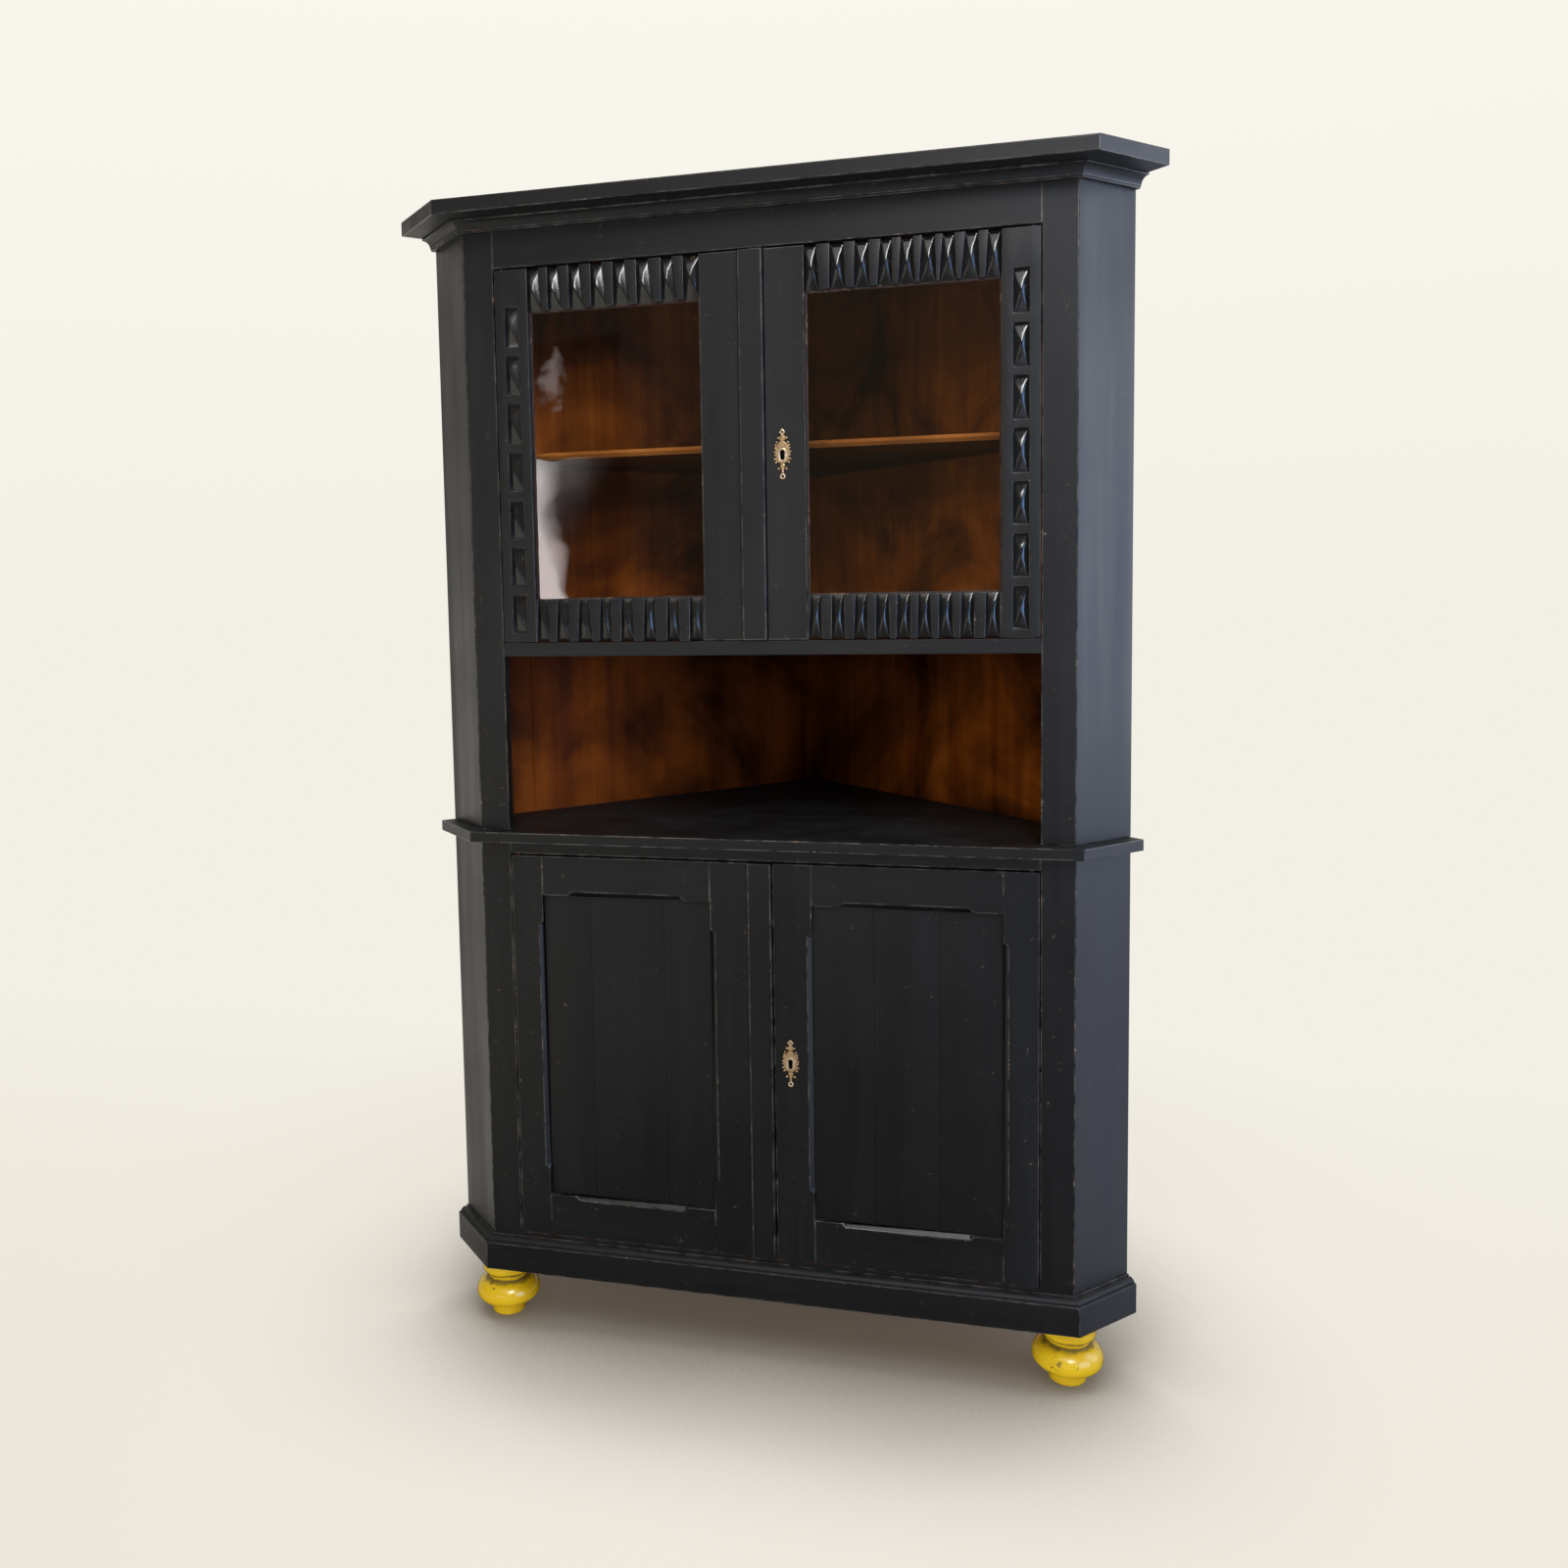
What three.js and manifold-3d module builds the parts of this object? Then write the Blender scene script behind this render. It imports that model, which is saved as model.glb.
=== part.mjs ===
// Corner cupboard: a glazed case over an open niche, on a lower cupboard with boarded doors and turned feet.
// Millimetres, +Z up, the front faces -Y. The origin is on the floor, in the middle of the outline box.
import * as THREE from 'three';
import { ConvexGeometry } from 'three/addons/geometries/ConvexGeometry.js';
import { mergeVertices } from 'three/addons/utils/BufferGeometryUtils.js';
import loadManifold from 'manifold-3d';

const wasm = await loadManifold();
wasm.setup();

// Plan of the case
const FRONT_WIDTH = 1048;
const RETURN_WIDTH = 131.5;
const CASE_STILE_WIDTH = 56;
const FRAME_THICKNESS = 22;
const WALL_THICKNESS = 18;
const WALL_BOARD_WIDTH = 140;
const WALL_GROOVE_WIDTH = 3;
const WALL_GROOVE_DEPTH = 2;

// Heights, from the floor up
const FOOT_HEIGHT = 107;
const PLINTH_FACE_HEIGHT = 51;
const PLINTH_MOULDING_HEIGHT = 11;
const SILL_SHOW = 5;
const LOWER_OPENING_HEIGHT = 721;
const LOWER_TOP_RAIL_HEIGHT = 24;
const WAIST_BOARD_THICKNESS = 19.5;
const NICHE_HEIGHT = 317;
const CASE_FLOOR_THICKNESS = 24.5;
const UPPER_OPENING_HEIGHT = 661;
const FRIEZE_HEIGHT = 84;
const TOP_BOARD_THICKNESS = 25;

// Boards inside the case
const FLOOR_BOARD_THICKNESS = 22;
const SHELF_SETBACK = 60;
const UPPER_SHELF_RISE = 329;
const UPPER_SHELF_THICKNESS = 13;
const LOWER_SHELF_RISE = 340;
const LOWER_SHELF_THICKNESS = 18;

// Overhangs and mouldings
const TOP_OVERHANG = 65;
const WAIST_OVERHANG = 27;
const CORNICE_HEIGHT = 21;
const CORNICE_BOTTOM_OUT = 9;
const CORNICE_TOP_OUT = 26;
const CORNICE_FILLET = 3.5;
const CORNICE_LEDGE = 1.5;
const PLINTH_OUT = 20;
const PLINTH_ARRIS = 1;
const PLINTH_LEDGE = 3.5;
const PLINTH_BEAD_HEIGHT = 7.5;
const PLINTH_QUIRK = 1.3;
const PLINTH_FILLET_OUT = 3.5;

// Turned feet
const FOOT_FRONT_INSET = 42;
const FOOT_RETURN_INSET = 36;
const REAR_FOOT_INSET = 62;
const FOOT_PAD_RADIUS = 31.5;
const FOOT_PAD_WAIST = 29.5;
const FOOT_PAD_HEIGHT = 19;
const FOOT_BUN_RADIUS = 60;
const FOOT_BUN_LOW_RADIUS = 32;
const FOOT_BUN_FLANK_RISE = 7;
const FOOT_BUN_MIDDLE = 38;
const FOOT_BUN_TOP = 67;
const FOOT_CREVICE_RADIUS = 37;
const FOOT_BAND_RADIUS = 42;
const FOOT_BAND_HEIGHT = 13;
const FOOT_COLLAR_STEP = 2;
const FOOT_COLLAR_RADIUS = 48;
const FOOT_COLLAR_RISE = 9;
const FOOT_TENON_RADIUS = 12;
const FOOT_TENON_SEAT = 12;

// Doors
const DOOR_THICKNESS = 22;
const DOOR_SIDE_GAP = 2;
const DOOR_TOP_GAP = 3.5;
const DOOR_BOTTOM_GAP = 1.5;
const MEETING_LINE_X = 16.5;
const MEETING_GAP = 2;
const INNER_STILE_WIDTH = 67.5;
const COVER_STRIP_WIDTH = 43;
const COVER_STRIP_PROUD = 6;
const COVER_STRIP_ARRIS = 1.5;
const UPPER_OUTER_STILE_WIDTH = 61;
const UPPER_TOP_RAIL_WIDTH = 74;
const UPPER_BOTTOM_RAIL_WIDTH = 75;
const LOWER_OUTER_STILE_WIDTH = 58;
const LOWER_DOOR_TOP_RAIL_WIDTH = 72;
const LOWER_DOOR_BOTTOM_RAIL_WIDTH = 79;
const TENON_FRONT = 11;
const TENON_THICKNESS = 6;
const TENON_LENGTH = 15;
const TENON_SHOULDER = 10;

// Pivot pins
const PIVOT_INSET = 12;
const PIVOT_DEPTH = 6;
const PIN_RADIUS = 3.5;
const PIN_CLEARANCE = 0.3;
const PIN_SEAT = 8;
const PIN_END_PLAY = 0.8;

// Glass
const GLASS_THICKNESS = 2.5;
const GLASS_RABBET_WIDTH = 8;
const GLASS_RABBET_FRONT = 12;
const GLASS_EDGE_PLAY = 1;

// Diamond carving of the upper doors
const CARVING_DEPTH = 10;
const CARVING_APEX_SINK = 0.6;
const RAIL_RECESS_WIDTH = 25;
const RAIL_RECESS_FLARE = 2;
const STILE_RECESS_WIDTH = 26;
const STILE_RECESS_HEIGHT = 70;
const STILE_BAR_HEIGHT = 14.5;
const STILE_CARVING_FOOT = 15;
const STILE_PLAIN_TOP = 50;
const LEFT_RAIL_DIAMONDS = 8;
const RIGHT_RAIL_DIAMONDS = 9;

// Boarded panels and stopped chamfers of the lower doors
const PANEL_RECESS = 9;
const PANEL_BOARD_THICKNESS = 8;
const PANEL_GROOVE_DEPTH = 8;
const PANEL_EDGE_PLAY = 0.5;
const PANEL_BOARD_GAP = 0.5;
const CHAMFER_SIZE = 8;
const CHAMFER_STOP = 48;
const CHAMFER_RUN = 8;
const LEFT_BOARD_JOINT_SHARES = [0.28, 0.72];
const RIGHT_BOARD_JOINT_SHARES = [0.325, 0.67];

// Locks and escutcheons
const UPPER_LOCK_RISE = 313.5;
const LOWER_LOCK_RISE = 361.5;
const LOCK_BACKSET = 28;
const KEYHOLE_RADIUS = 4.4;
const KEYHOLE_DROP = 11.6;
const KEYHOLE_FOOT_WIDTH = 6.4;
const KEYHOLE_RIM_WIDTH = 2;
const LOCK_CASE_WIDTH = 54;
const LOCK_CASE_HEIGHT = 70;
const LOCK_CASE_DEPTH = 14;
const LOCK_CASE_WALL = 2;
const LOCK_CASE_EDGE_INSET = 3;
const BOLT_LENGTH = 38;
const BOLT_HEIGHT = 14;
const BOLT_THICKNESS = 6;
const BOLT_BACK_GAP = 1;
const ESCUTCHEON_HEIGHT = 86;
const ESCUTCHEON_WIDTH = 31;
const ESCUTCHEON_THICKNESS = 1.6;
const ESCUTCHEON_RIM_PROUD = 1;
const NAIL_HOLE_RADIUS = 1.5;

// Clearances shared by the whole piece
const JOINT_GAP = 0.3;
const OVERRUN = 1;

// Smoothness of arcs and turned work
const ARC_STEPS = 8;
const FOOT_SIDES = 28;
const PIN_SIDES = 16;
const LOBE_SIDES = 12;

// Outline of the escutcheon plate from the bottom ring to the finial, as shares of half its width and height
const PLATE_OUTLINE_SHARES = [
  [0.12, -0.78], [0.3, -0.6], [0.3, -0.48], [0.62, -0.34], [0.78, -0.12], [0.78, 0.12],
  [0.66, 0.32], [0.5, 0.5], [0.34, 0.62], [0.16, 0.78],
];
// Lobes round the plate: across, up and radius, as shares of half its width, half its height and half its width
const LOBE_SHARES = [
  [0.36, -0.54, 0.17], [0.68, -0.33, 0.17], [0.8, -0.19, 0.16], [0.84, -0.02, 0.16],
  [0.8, 0.15, 0.16], [0.66, 0.34, 0.18], [0.42, 0.6, 0.19],
];
const FINIAL_UP_SHARE = 0.86;
const FINIAL_RADIUS_SHARE = 0.34;
const RING_UP_SHARE = -0.86;
const RING_RADIUS_SHARE = 0.34;

const BLACK_PAINT = { color: 0x26272b, roughness: 0.45, metalness: 0 };
const STAINED_PINE = { color: 0x6e3c19, roughness: 0.55, metalness: 0 };
const YELLOW_PAINT = { color: 0xd9b612, roughness: 0.3, metalness: 0 };
const BRASS = { color: 0xc8a06c, roughness: 0.35, metalness: 1 };
const IRON = { color: 0x38383a, roughness: 0.6, metalness: 0.9 };
const OLD_GLASS = { color: 0xd5ddd8, roughness: 0.05, metalness: 0, transparent: true, opacity: 0.3 };

// Levels that follow from the heights
const plinthTop = FOOT_HEIGHT + PLINTH_FACE_HEIGHT + PLINTH_MOULDING_HEIGHT;
const floorTop = plinthTop + SILL_SHOW;
const lowerOpeningTop = floorTop + LOWER_OPENING_HEIGHT;
const waistBottom = lowerOpeningTop + LOWER_TOP_RAIL_HEIGHT;
const waistTop = waistBottom + WAIST_BOARD_THICKNESS;
const caseFloorBottom = waistTop + NICHE_HEIGHT;
const caseFloorTop = caseFloorBottom + CASE_FLOOR_THICKNESS;
const upperOpeningTop = caseFloorTop + UPPER_OPENING_HEIGHT;
const topBoardBottom = upperOpeningTop + FRIEZE_HEIGHT;
const topBoardTop = topBoardBottom + TOP_BOARD_THICKNESS;

// Plan sizes that follow from the widths. The returns are canted at 45 degrees, square to the room's walls.
const halfFront = FRONT_WIDTH / 2;
const halfOpening = halfFront - CASE_STILE_WIDTH;
const cant = RETURN_WIDTH * Math.SQRT1_2;
const cornerDepth = halfFront + 2 * cant;
const wallRun = (halfFront + cornerDepth) * Math.SQRT1_2;
const MITRE_ANGLE = Math.PI / 8;
const TURN = 2 * Math.PI;

// Plan lines: each is a unit normal and the distance of the line from the middle of the front face

const frontLine = (inset) => ({ nx: 0, ny: -1, d: -inset });
const uprightLine = (x) => ({ nx: 1, ny: 0, d: x });
const returnLine = (side, inset) => ({
  nx: side * Math.SQRT1_2,
  ny: -Math.SQRT1_2,
  d: halfFront * Math.SQRT1_2 - inset,
});
const wallLine = (side, inset) => ({
  nx: side * Math.SQRT1_2,
  ny: Math.SQRT1_2,
  d: cornerDepth * Math.SQRT1_2 - inset,
});
const mitreLine = (side, shift) => ({
  nx: side * Math.cos(MITRE_ANGLE),
  ny: Math.sin(MITRE_ANGLE),
  d: halfFront * Math.cos(MITRE_ANGLE) + shift,
});

// Point where two plan lines cross
function meet(a, b) {
  const turn = a.nx * b.ny - a.ny * b.nx;
  return new THREE.Vector2((a.d * b.ny - b.d * a.ny) / turn, (a.nx * b.d - b.nx * a.d) / turn);
}

// Corners of the outline that a closed row of plan lines encloses
function corners(lines) {
  return lines.map((line, index) => meet(line, lines[(index + 1) % lines.length]));
}

// Solids and meshes

function piece(name, geometry, finish) {
  const mesh = new THREE.Mesh(geometry, new THREE.MeshStandardMaterial(finish));
  mesh.name = name;
  return mesh;
}

function solidOf(geometry) {
  const bare = geometry.clone();
  bare.deleteAttribute('normal');
  bare.deleteAttribute('uv');
  const welded = mergeVertices(bare);
  const vertProperties = new Float32Array(welded.attributes.position.array);
  const triVerts = new Uint32Array(welded.index.array);
  return new wasm.Manifold(new wasm.Mesh({ numProp: 3, vertProperties, triVerts }));
}

function geometryOf(solid) {
  const mesh = solid.getMesh();
  const geometry = new THREE.BufferGeometry();
  geometry.setAttribute('position', new THREE.BufferAttribute(mesh.vertProperties, 3));
  geometry.setIndex(new THREE.BufferAttribute(mesh.triVerts, 1));
  geometry.computeVertexNormals();
  return geometry;
}

// Solid left when the cutters are taken out of a geometry and the additions are joined to it
function shaped(geometry, cutters, additions = []) {
  let solid = solidOf(geometry);
  for (const cutter of cutters) {
    solid = solid.subtract(solidOf(cutter));
  }
  for (const addition of additions) {
    solid = solid.add(solidOf(addition));
  }
  return geometryOf(solid);
}

// Box between pairs of bounds, each pair in either order
function slab(across, deep, up) {
  const size = [across, deep, up].map(([from, to]) => Math.abs(to - from));
  const middle = [across, deep, up].map(([from, to]) => (from + to) / 2);
  const geometry = new THREE.BoxGeometry(...size);
  geometry.translate(...middle);
  return geometry;
}

// Upright round peg or hole
function peg(radius, x, y, low, high, sides) {
  const geometry = new THREE.CylinderGeometry(radius, radius, high - low, sides);
  geometry.rotateX(Math.PI / 2);
  geometry.translate(x, y, (low + high) / 2);
  return geometry;
}

// Flat board with a plan outline, from one level to another
function board(outline, low, high) {
  const geometry = new THREE.ExtrudeGeometry(new THREE.Shape(outline), {
    depth: high - low,
    bevelEnabled: false,
  });
  geometry.translate(0, 0, low);
  return geometry;
}

// Closed body between two end outlines with the same number of points
function loft(first, last) {
  const count = first.length;
  const positions = [...first, ...last].flatMap((point) => [point.x, point.y, point.z]);
  const flat = first.map((point) => new THREE.Vector2(point.reach, point.z));
  const cap = THREE.ShapeUtils.triangulateShape(flat, []);
  const faces = cap.flatMap(([a, b, c]) => [a, b, c, c + count, b + count, a + count]);
  for (let index = 0; index < count; index += 1) {
    const next = (index + 1) % count;
    faces.push(index, index + count, next, next, index + count, next + count);
  }
  return outwardGeometry(positions, faces);
}

// Geometry whose faces point out, whichever way its outline ran
function outwardGeometry(positions, faces) {
  let volume = 0;
  const corner = (index) => new THREE.Vector3().fromArray(positions, 3 * index);
  for (let index = 0; index < faces.length; index += 3) {
    const [a, b, c] = [0, 1, 2].map((step) => corner(faces[index + step]));
    volume += a.dot(b.cross(c));
  }
  const ordered = volume < 0 ? faces.slice().reverse() : faces;
  const geometry = new THREE.BufferGeometry();
  geometry.setAttribute('position', new THREE.Float32BufferAttribute(positions, 3));
  geometry.setIndex(ordered);
  geometry.computeVertexNormals();
  return geometry;
}

// Quarter of an ellipse as profile points, from the start angle to the end angle
function arcPoints(centreOut, centreUp, radiusOut, radiusUp, from, to) {
  return Array.from({ length: ARC_STEPS + 1 }, (_, step) => {
    const angle = from + ((to - from) * step) / ARC_STEPS;
    return [centreOut + radiusOut * Math.cos(angle), centreUp + radiusUp * Math.sin(angle)];
  });
}

// Moulding with a profile of distances out from a face and up from a level, cut to the plan lines at its ends
function mouldingRun(profile, faceLine, startLine, endLine, level) {
  const endOutline = (endLineOfRun) => profile.map(([out, up]) => {
    const at = meet(faceLine(-out), endLineOfRun);
    return { x: at.x, y: at.y, z: level + up, reach: out };
  });
  return loft(endOutline(startLine), endOutline(endLine));
}

// Three mitred lengths of a moulding: across the front and along both returns
function mitredMoulding(name, profile, level) {
  const group = new THREE.Group();
  const front = mouldingRun(profile, frontLine, mitreLine(-1, -JOINT_GAP), mitreLine(1, -JOINT_GAP), level);
  group.add(piece(`${name}_front`, front, BLACK_PAINT));
  for (const [side, label] of [[-1, 'left'], [1, 'right']]) {
    const face = (inset) => returnLine(side, inset);
    const run = mouldingRun(profile, face, mitreLine(side, 0), wallLine(side, 0), level);
    group.add(piece(`${name}_${label}`, run, BLACK_PAINT));
  }
  return group;
}

// Cove between two fillets
function corniceProfile() {
  const coveOut = CORNICE_TOP_OUT - CORNICE_LEDGE;
  const coveWidth = coveOut - CORNICE_BOTTOM_OUT - CORNICE_LEDGE;
  const coveHeight = CORNICE_HEIGHT - 2 * CORNICE_FILLET;
  const top = CORNICE_HEIGHT - JOINT_GAP;
  return [
    [JOINT_GAP, 0],
    [CORNICE_BOTTOM_OUT, 0],
    [CORNICE_BOTTOM_OUT, CORNICE_FILLET],
    ...arcPoints(coveOut, CORNICE_FILLET, coveWidth, coveHeight, Math.PI, Math.PI / 2),
    [CORNICE_TOP_OUT, CORNICE_HEIGHT - CORNICE_FILLET],
    [CORNICE_TOP_OUT, top],
    [JOINT_GAP, top],
  ];
}

// Flat face under a bead, with a quirk and a fillet against the case
function plinthProfile() {
  const ledgeUp = PLINTH_FACE_HEIGHT + PLINTH_ARRIS;
  const beadOut = PLINTH_OUT - PLINTH_ARRIS - PLINTH_LEDGE;
  const beadIn = PLINTH_FILLET_OUT + PLINTH_QUIRK;
  const beadTop = ledgeUp + PLINTH_BEAD_HEIGHT;
  const top = PLINTH_FACE_HEIGHT + PLINTH_MOULDING_HEIGHT;
  return [
    [JOINT_GAP, 0],
    [PLINTH_OUT, 0],
    [PLINTH_OUT, PLINTH_FACE_HEIGHT],
    [PLINTH_OUT - PLINTH_ARRIS, ledgeUp],
    ...arcPoints(beadIn, ledgeUp, beadOut - beadIn, PLINTH_BEAD_HEIGHT, 0, Math.PI / 2),
    [beadIn, beadTop - PLINTH_QUIRK],
    [PLINTH_FILLET_OUT, beadTop - PLINTH_QUIRK],
    [PLINTH_FILLET_OUT, top],
    [JOINT_GAP, top],
  ];
}

// Outline of a board inside the case, as far forward as the given line
function insideLines(firstLines) {
  const returnInset = FRAME_THICKNESS + JOINT_GAP;
  const wallInset = WALL_THICKNESS + JOINT_GAP;
  return [
    ...firstLines,
    returnLine(1, returnInset),
    wallLine(1, wallInset),
    wallLine(-1, wallInset),
    returnLine(-1, returnInset),
  ];
}

// Outline of a board that fills the case and shows its front edge between the stiles
function tonguedOutline() {
  const behind = frontLine(FRAME_THICKNESS + JOINT_GAP);
  const tongue = halfOpening - JOINT_GAP;
  const lines = insideLines([uprightLine(-tongue), frontLine(0), uprightLine(tongue), behind]);
  return corners([...lines, behind]);
}

function shelf(name, low, thickness) {
  const outline = corners(insideLines([frontLine(SHELF_SETBACK)]));
  return piece(name, board(outline, low, low + thickness), STAINED_PINE);
}

function topBoard() {
  const outline = corners([
    frontLine(-TOP_OVERHANG),
    returnLine(1, -TOP_OVERHANG),
    wallLine(1, 0),
    wallLine(-1, 0),
    returnLine(-1, -TOP_OVERHANG),
  ]);
  return piece('top_board', board(outline, topBoardBottom, topBoardTop), BLACK_PAINT);
}

// The waist board is notched round the ends of the back walls, which pass behind it
function waistBoard() {
  const returnInset = FRAME_THICKNESS + JOINT_GAP;
  const wallInset = WALL_THICKNESS + JOINT_GAP;
  const outline = corners([
    frontLine(-WAIST_OVERHANG),
    returnLine(1, -WAIST_OVERHANG),
    wallLine(1, 0),
    returnLine(1, returnInset),
    wallLine(1, wallInset),
    wallLine(-1, wallInset),
    returnLine(-1, returnInset),
    wallLine(-1, 0),
    returnLine(-1, -WAIST_OVERHANG),
  ]);
  return piece('waist_board', board(outline, waistBottom, waistTop - JOINT_GAP), BLACK_PAINT);
}

function caseStile(name, side, low, high) {
  const outline = corners([
    frontLine(0),
    mitreLine(side, -JOINT_GAP),
    frontLine(FRAME_THICKNESS),
    uprightLine(side * halfOpening),
  ]);
  return piece(name, board(outline, low, high - JOINT_GAP), BLACK_PAINT);
}

function caseReturn(name, side, low, high) {
  const outline = corners([
    mitreLine(side, 0),
    returnLine(side, 0),
    wallLine(side, 0),
    returnLine(side, FRAME_THICKNESS),
  ]);
  return piece(name, board(outline, low, high - JOINT_GAP), BLACK_PAINT);
}

// Centre of a door's pivot pins in the plan of the case
function pivotX(side) {
  return side * (halfOpening - DOOR_SIDE_GAP - PIVOT_INSET);
}

// Sockets for the pivot pins of both doors of a stage, above or below the given level
function pinSockets(level, upward) {
  const depth = upward * (PIN_SEAT + PIN_END_PLAY);
  const bounds = [level - upward * OVERRUN, level + depth].sort((a, b) => a - b);
  const radius = PIN_RADIUS + PIN_CLEARANCE;
  return [-1, 1].map((side) => peg(radius, pivotX(side), PIVOT_DEPTH, ...bounds, PIN_SIDES));
}

// Rail across the front, between the case stiles and over a pair of doors
function caseRail(name, low, high) {
  const edge = halfOpening - JOINT_GAP;
  const blank = slab([-edge, edge], [0, FRAME_THICKNESS], [low, high - JOINT_GAP]);
  return piece(name, shaped(blank, pinSockets(low, 1)), BLACK_PAINT);
}

// Back wall of tongued boards: one panel with a V groove at each joint, on both faces
function backWall(name, side, end) {
  const start = FRAME_THICKNESS + JOINT_GAP;
  const boards = Math.max(1, Math.round((end - start) / WALL_BOARD_WIDTH));
  const grooves = Array.from({ length: boards - 1 }, (_, index) => (
    start + ((end - start) * (index + 1)) / boards
  ));
  const point = (along, inset) => meet(returnLine(side, along), wallLine(side, inset));
  const groove = (at, inset, deep) => [
    point(at - WALL_GROOVE_WIDTH / 2, inset),
    point(at, inset + deep),
    point(at + WALL_GROOVE_WIDTH / 2, inset),
  ];
  const inner = grooves.flatMap((at) => groove(at, WALL_THICKNESS, -WALL_GROOVE_DEPTH));
  const outer = grooves.flatMap((at) => groove(at, 0, WALL_GROOVE_DEPTH)).reverse();
  const outline = [
    point(start, WALL_THICKNESS),
    ...inner,
    point(end, WALL_THICKNESS),
    point(end, 0),
    ...outer,
    point(start, 0),
  ];
  return piece(name, board(outline, FOOT_HEIGHT, topBoardBottom - JOINT_GAP), STAINED_PINE);
}

// Centres of the three feet in plan
function footCentres() {
  return {
    foot_left: meet(frontLine(FOOT_FRONT_INSET), returnLine(-1, FOOT_RETURN_INSET)),
    foot_right: meet(frontLine(FOOT_FRONT_INSET), returnLine(1, FOOT_RETURN_INSET)),
    foot_rear: meet(wallLine(-1, REAR_FOOT_INSET), wallLine(1, REAR_FOOT_INSET)),
  };
}

function floorBoardBottom() {
  return floorTop - FLOOR_BOARD_THICKNESS;
}

// Floor of the lower cupboard, with sockets for the door pins and for the tenons of the feet
function floorBoard() {
  const blank = board(tonguedOutline(), floorBoardBottom(), floorTop);
  const radius = FOOT_TENON_RADIUS + JOINT_GAP;
  const low = floorBoardBottom() - OVERRUN;
  const high = floorBoardBottom() + FOOT_TENON_SEAT + JOINT_GAP;
  const sockets = Object.values(footCentres()).map((at) => peg(radius, at.x, at.y, low, high, FOOT_SIDES));
  return piece('floor_board', shaped(blank, [...pinSockets(floorTop, -1), ...sockets]), STAINED_PINE);
}

function caseFloor() {
  const blank = board(tonguedOutline(), caseFloorBottom, caseFloorTop);
  return piece('case_floor', shaped(blank, pinSockets(caseFloorTop, -1)), BLACK_PAINT);
}

// Turned profile: pad, bun, dark crevice, hollow band, flared collar and tenon
function footProfile() {
  const flank = FOOT_PAD_HEIGHT + FOOT_BUN_FLANK_RISE;
  const collarLow = FOOT_BUN_TOP + FOOT_BAND_HEIGHT;
  const collarHigh = collarLow + FOOT_COLLAR_RISE;
  const seat = FOOT_HEIGHT - JOINT_GAP;
  const tenonTop = floorBoardBottom() + FOOT_TENON_SEAT;
  const path = new THREE.Path();
  path.moveTo(0, 0);
  path.lineTo(FOOT_PAD_RADIUS, 0);
  path.quadraticCurveTo(FOOT_PAD_WAIST, FOOT_PAD_HEIGHT / 2, FOOT_BUN_LOW_RADIUS, FOOT_PAD_HEIGHT);
  path.quadraticCurveTo(FOOT_BUN_RADIUS, flank, FOOT_BUN_RADIUS, FOOT_BUN_MIDDLE);
  path.quadraticCurveTo(FOOT_BUN_RADIUS, FOOT_BUN_TOP, FOOT_CREVICE_RADIUS, FOOT_BUN_TOP);
  path.lineTo(FOOT_BAND_RADIUS, collarLow);
  path.lineTo(FOOT_BAND_RADIUS + FOOT_COLLAR_STEP, collarLow + FOOT_COLLAR_STEP);
  path.quadraticCurveTo(FOOT_COLLAR_RADIUS, collarLow + FOOT_COLLAR_STEP, FOOT_COLLAR_RADIUS, collarHigh);
  path.lineTo(FOOT_COLLAR_RADIUS, seat);
  path.lineTo(FOOT_TENON_RADIUS, seat);
  path.lineTo(FOOT_TENON_RADIUS, tenonTop);
  path.lineTo(0, tenonTop);
  return path.getPoints(ARC_STEPS);
}

function feet() {
  const group = new THREE.Group();
  for (const [name, at] of Object.entries(footCentres())) {
    const geometry = new THREE.LatheGeometry(footProfile(), FOOT_SIDES);
    geometry.rotateX(Math.PI / 2);
    const foot = piece(name, geometry, YELLOW_PAINT);
    foot.position.set(at.x, at.y, 0);
    group.add(foot);
  }
  return group;
}

function caseGroup() {
  const group = new THREE.Group();
  for (const [side, label] of [[-1, 'left'], [1, 'right']]) {
    group.add(caseStile(`lower_stile_${label}`, side, FOOT_HEIGHT, waistBottom));
    group.add(caseStile(`upper_stile_${label}`, side, waistTop, topBoardBottom));
    group.add(caseReturn(`lower_return_${label}`, side, FOOT_HEIGHT, waistBottom));
    group.add(caseReturn(`upper_return_${label}`, side, waistTop, topBoardBottom));
  }
  group.add(backWall('back_wall_right', 1, wallRun));
  group.add(backWall('back_wall_left', -1, wallRun - WALL_THICKNESS - JOINT_GAP));
  group.add(topBoard(), waistBoard(), caseFloor(), floorBoard());
  group.add(caseRail('frieze_rail', upperOpeningTop, topBoardBottom));
  group.add(caseRail('lower_top_rail', lowerOpeningTop, waistBottom));
  group.add(shelf('upper_shelf', caseFloorTop + UPPER_SHELF_RISE, UPPER_SHELF_THICKNESS));
  group.add(shelf('lower_shelf', floorTop + LOWER_SHELF_RISE, LOWER_SHELF_THICKNESS));
  group.add(mitredMoulding('cornice', corniceProfile(), topBoardBottom - CORNICE_HEIGHT));
  group.add(mitredMoulding('plinth', plinthProfile(), FOOT_HEIGHT));
  group.add(feet());
  return group;
}

// Doors. Each leaf is drawn round its pivot: places along it are distances from its hinge edge.

function leafX(leaf, along) {
  return leaf.side * (PIVOT_INSET - along);
}

function leafSlab(leaf, along, deep, up) {
  const across = along.map((distance) => leafX(leaf, distance));
  return slab(across, deep.map((distance) => distance - PIVOT_DEPTH), up);
}

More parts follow.
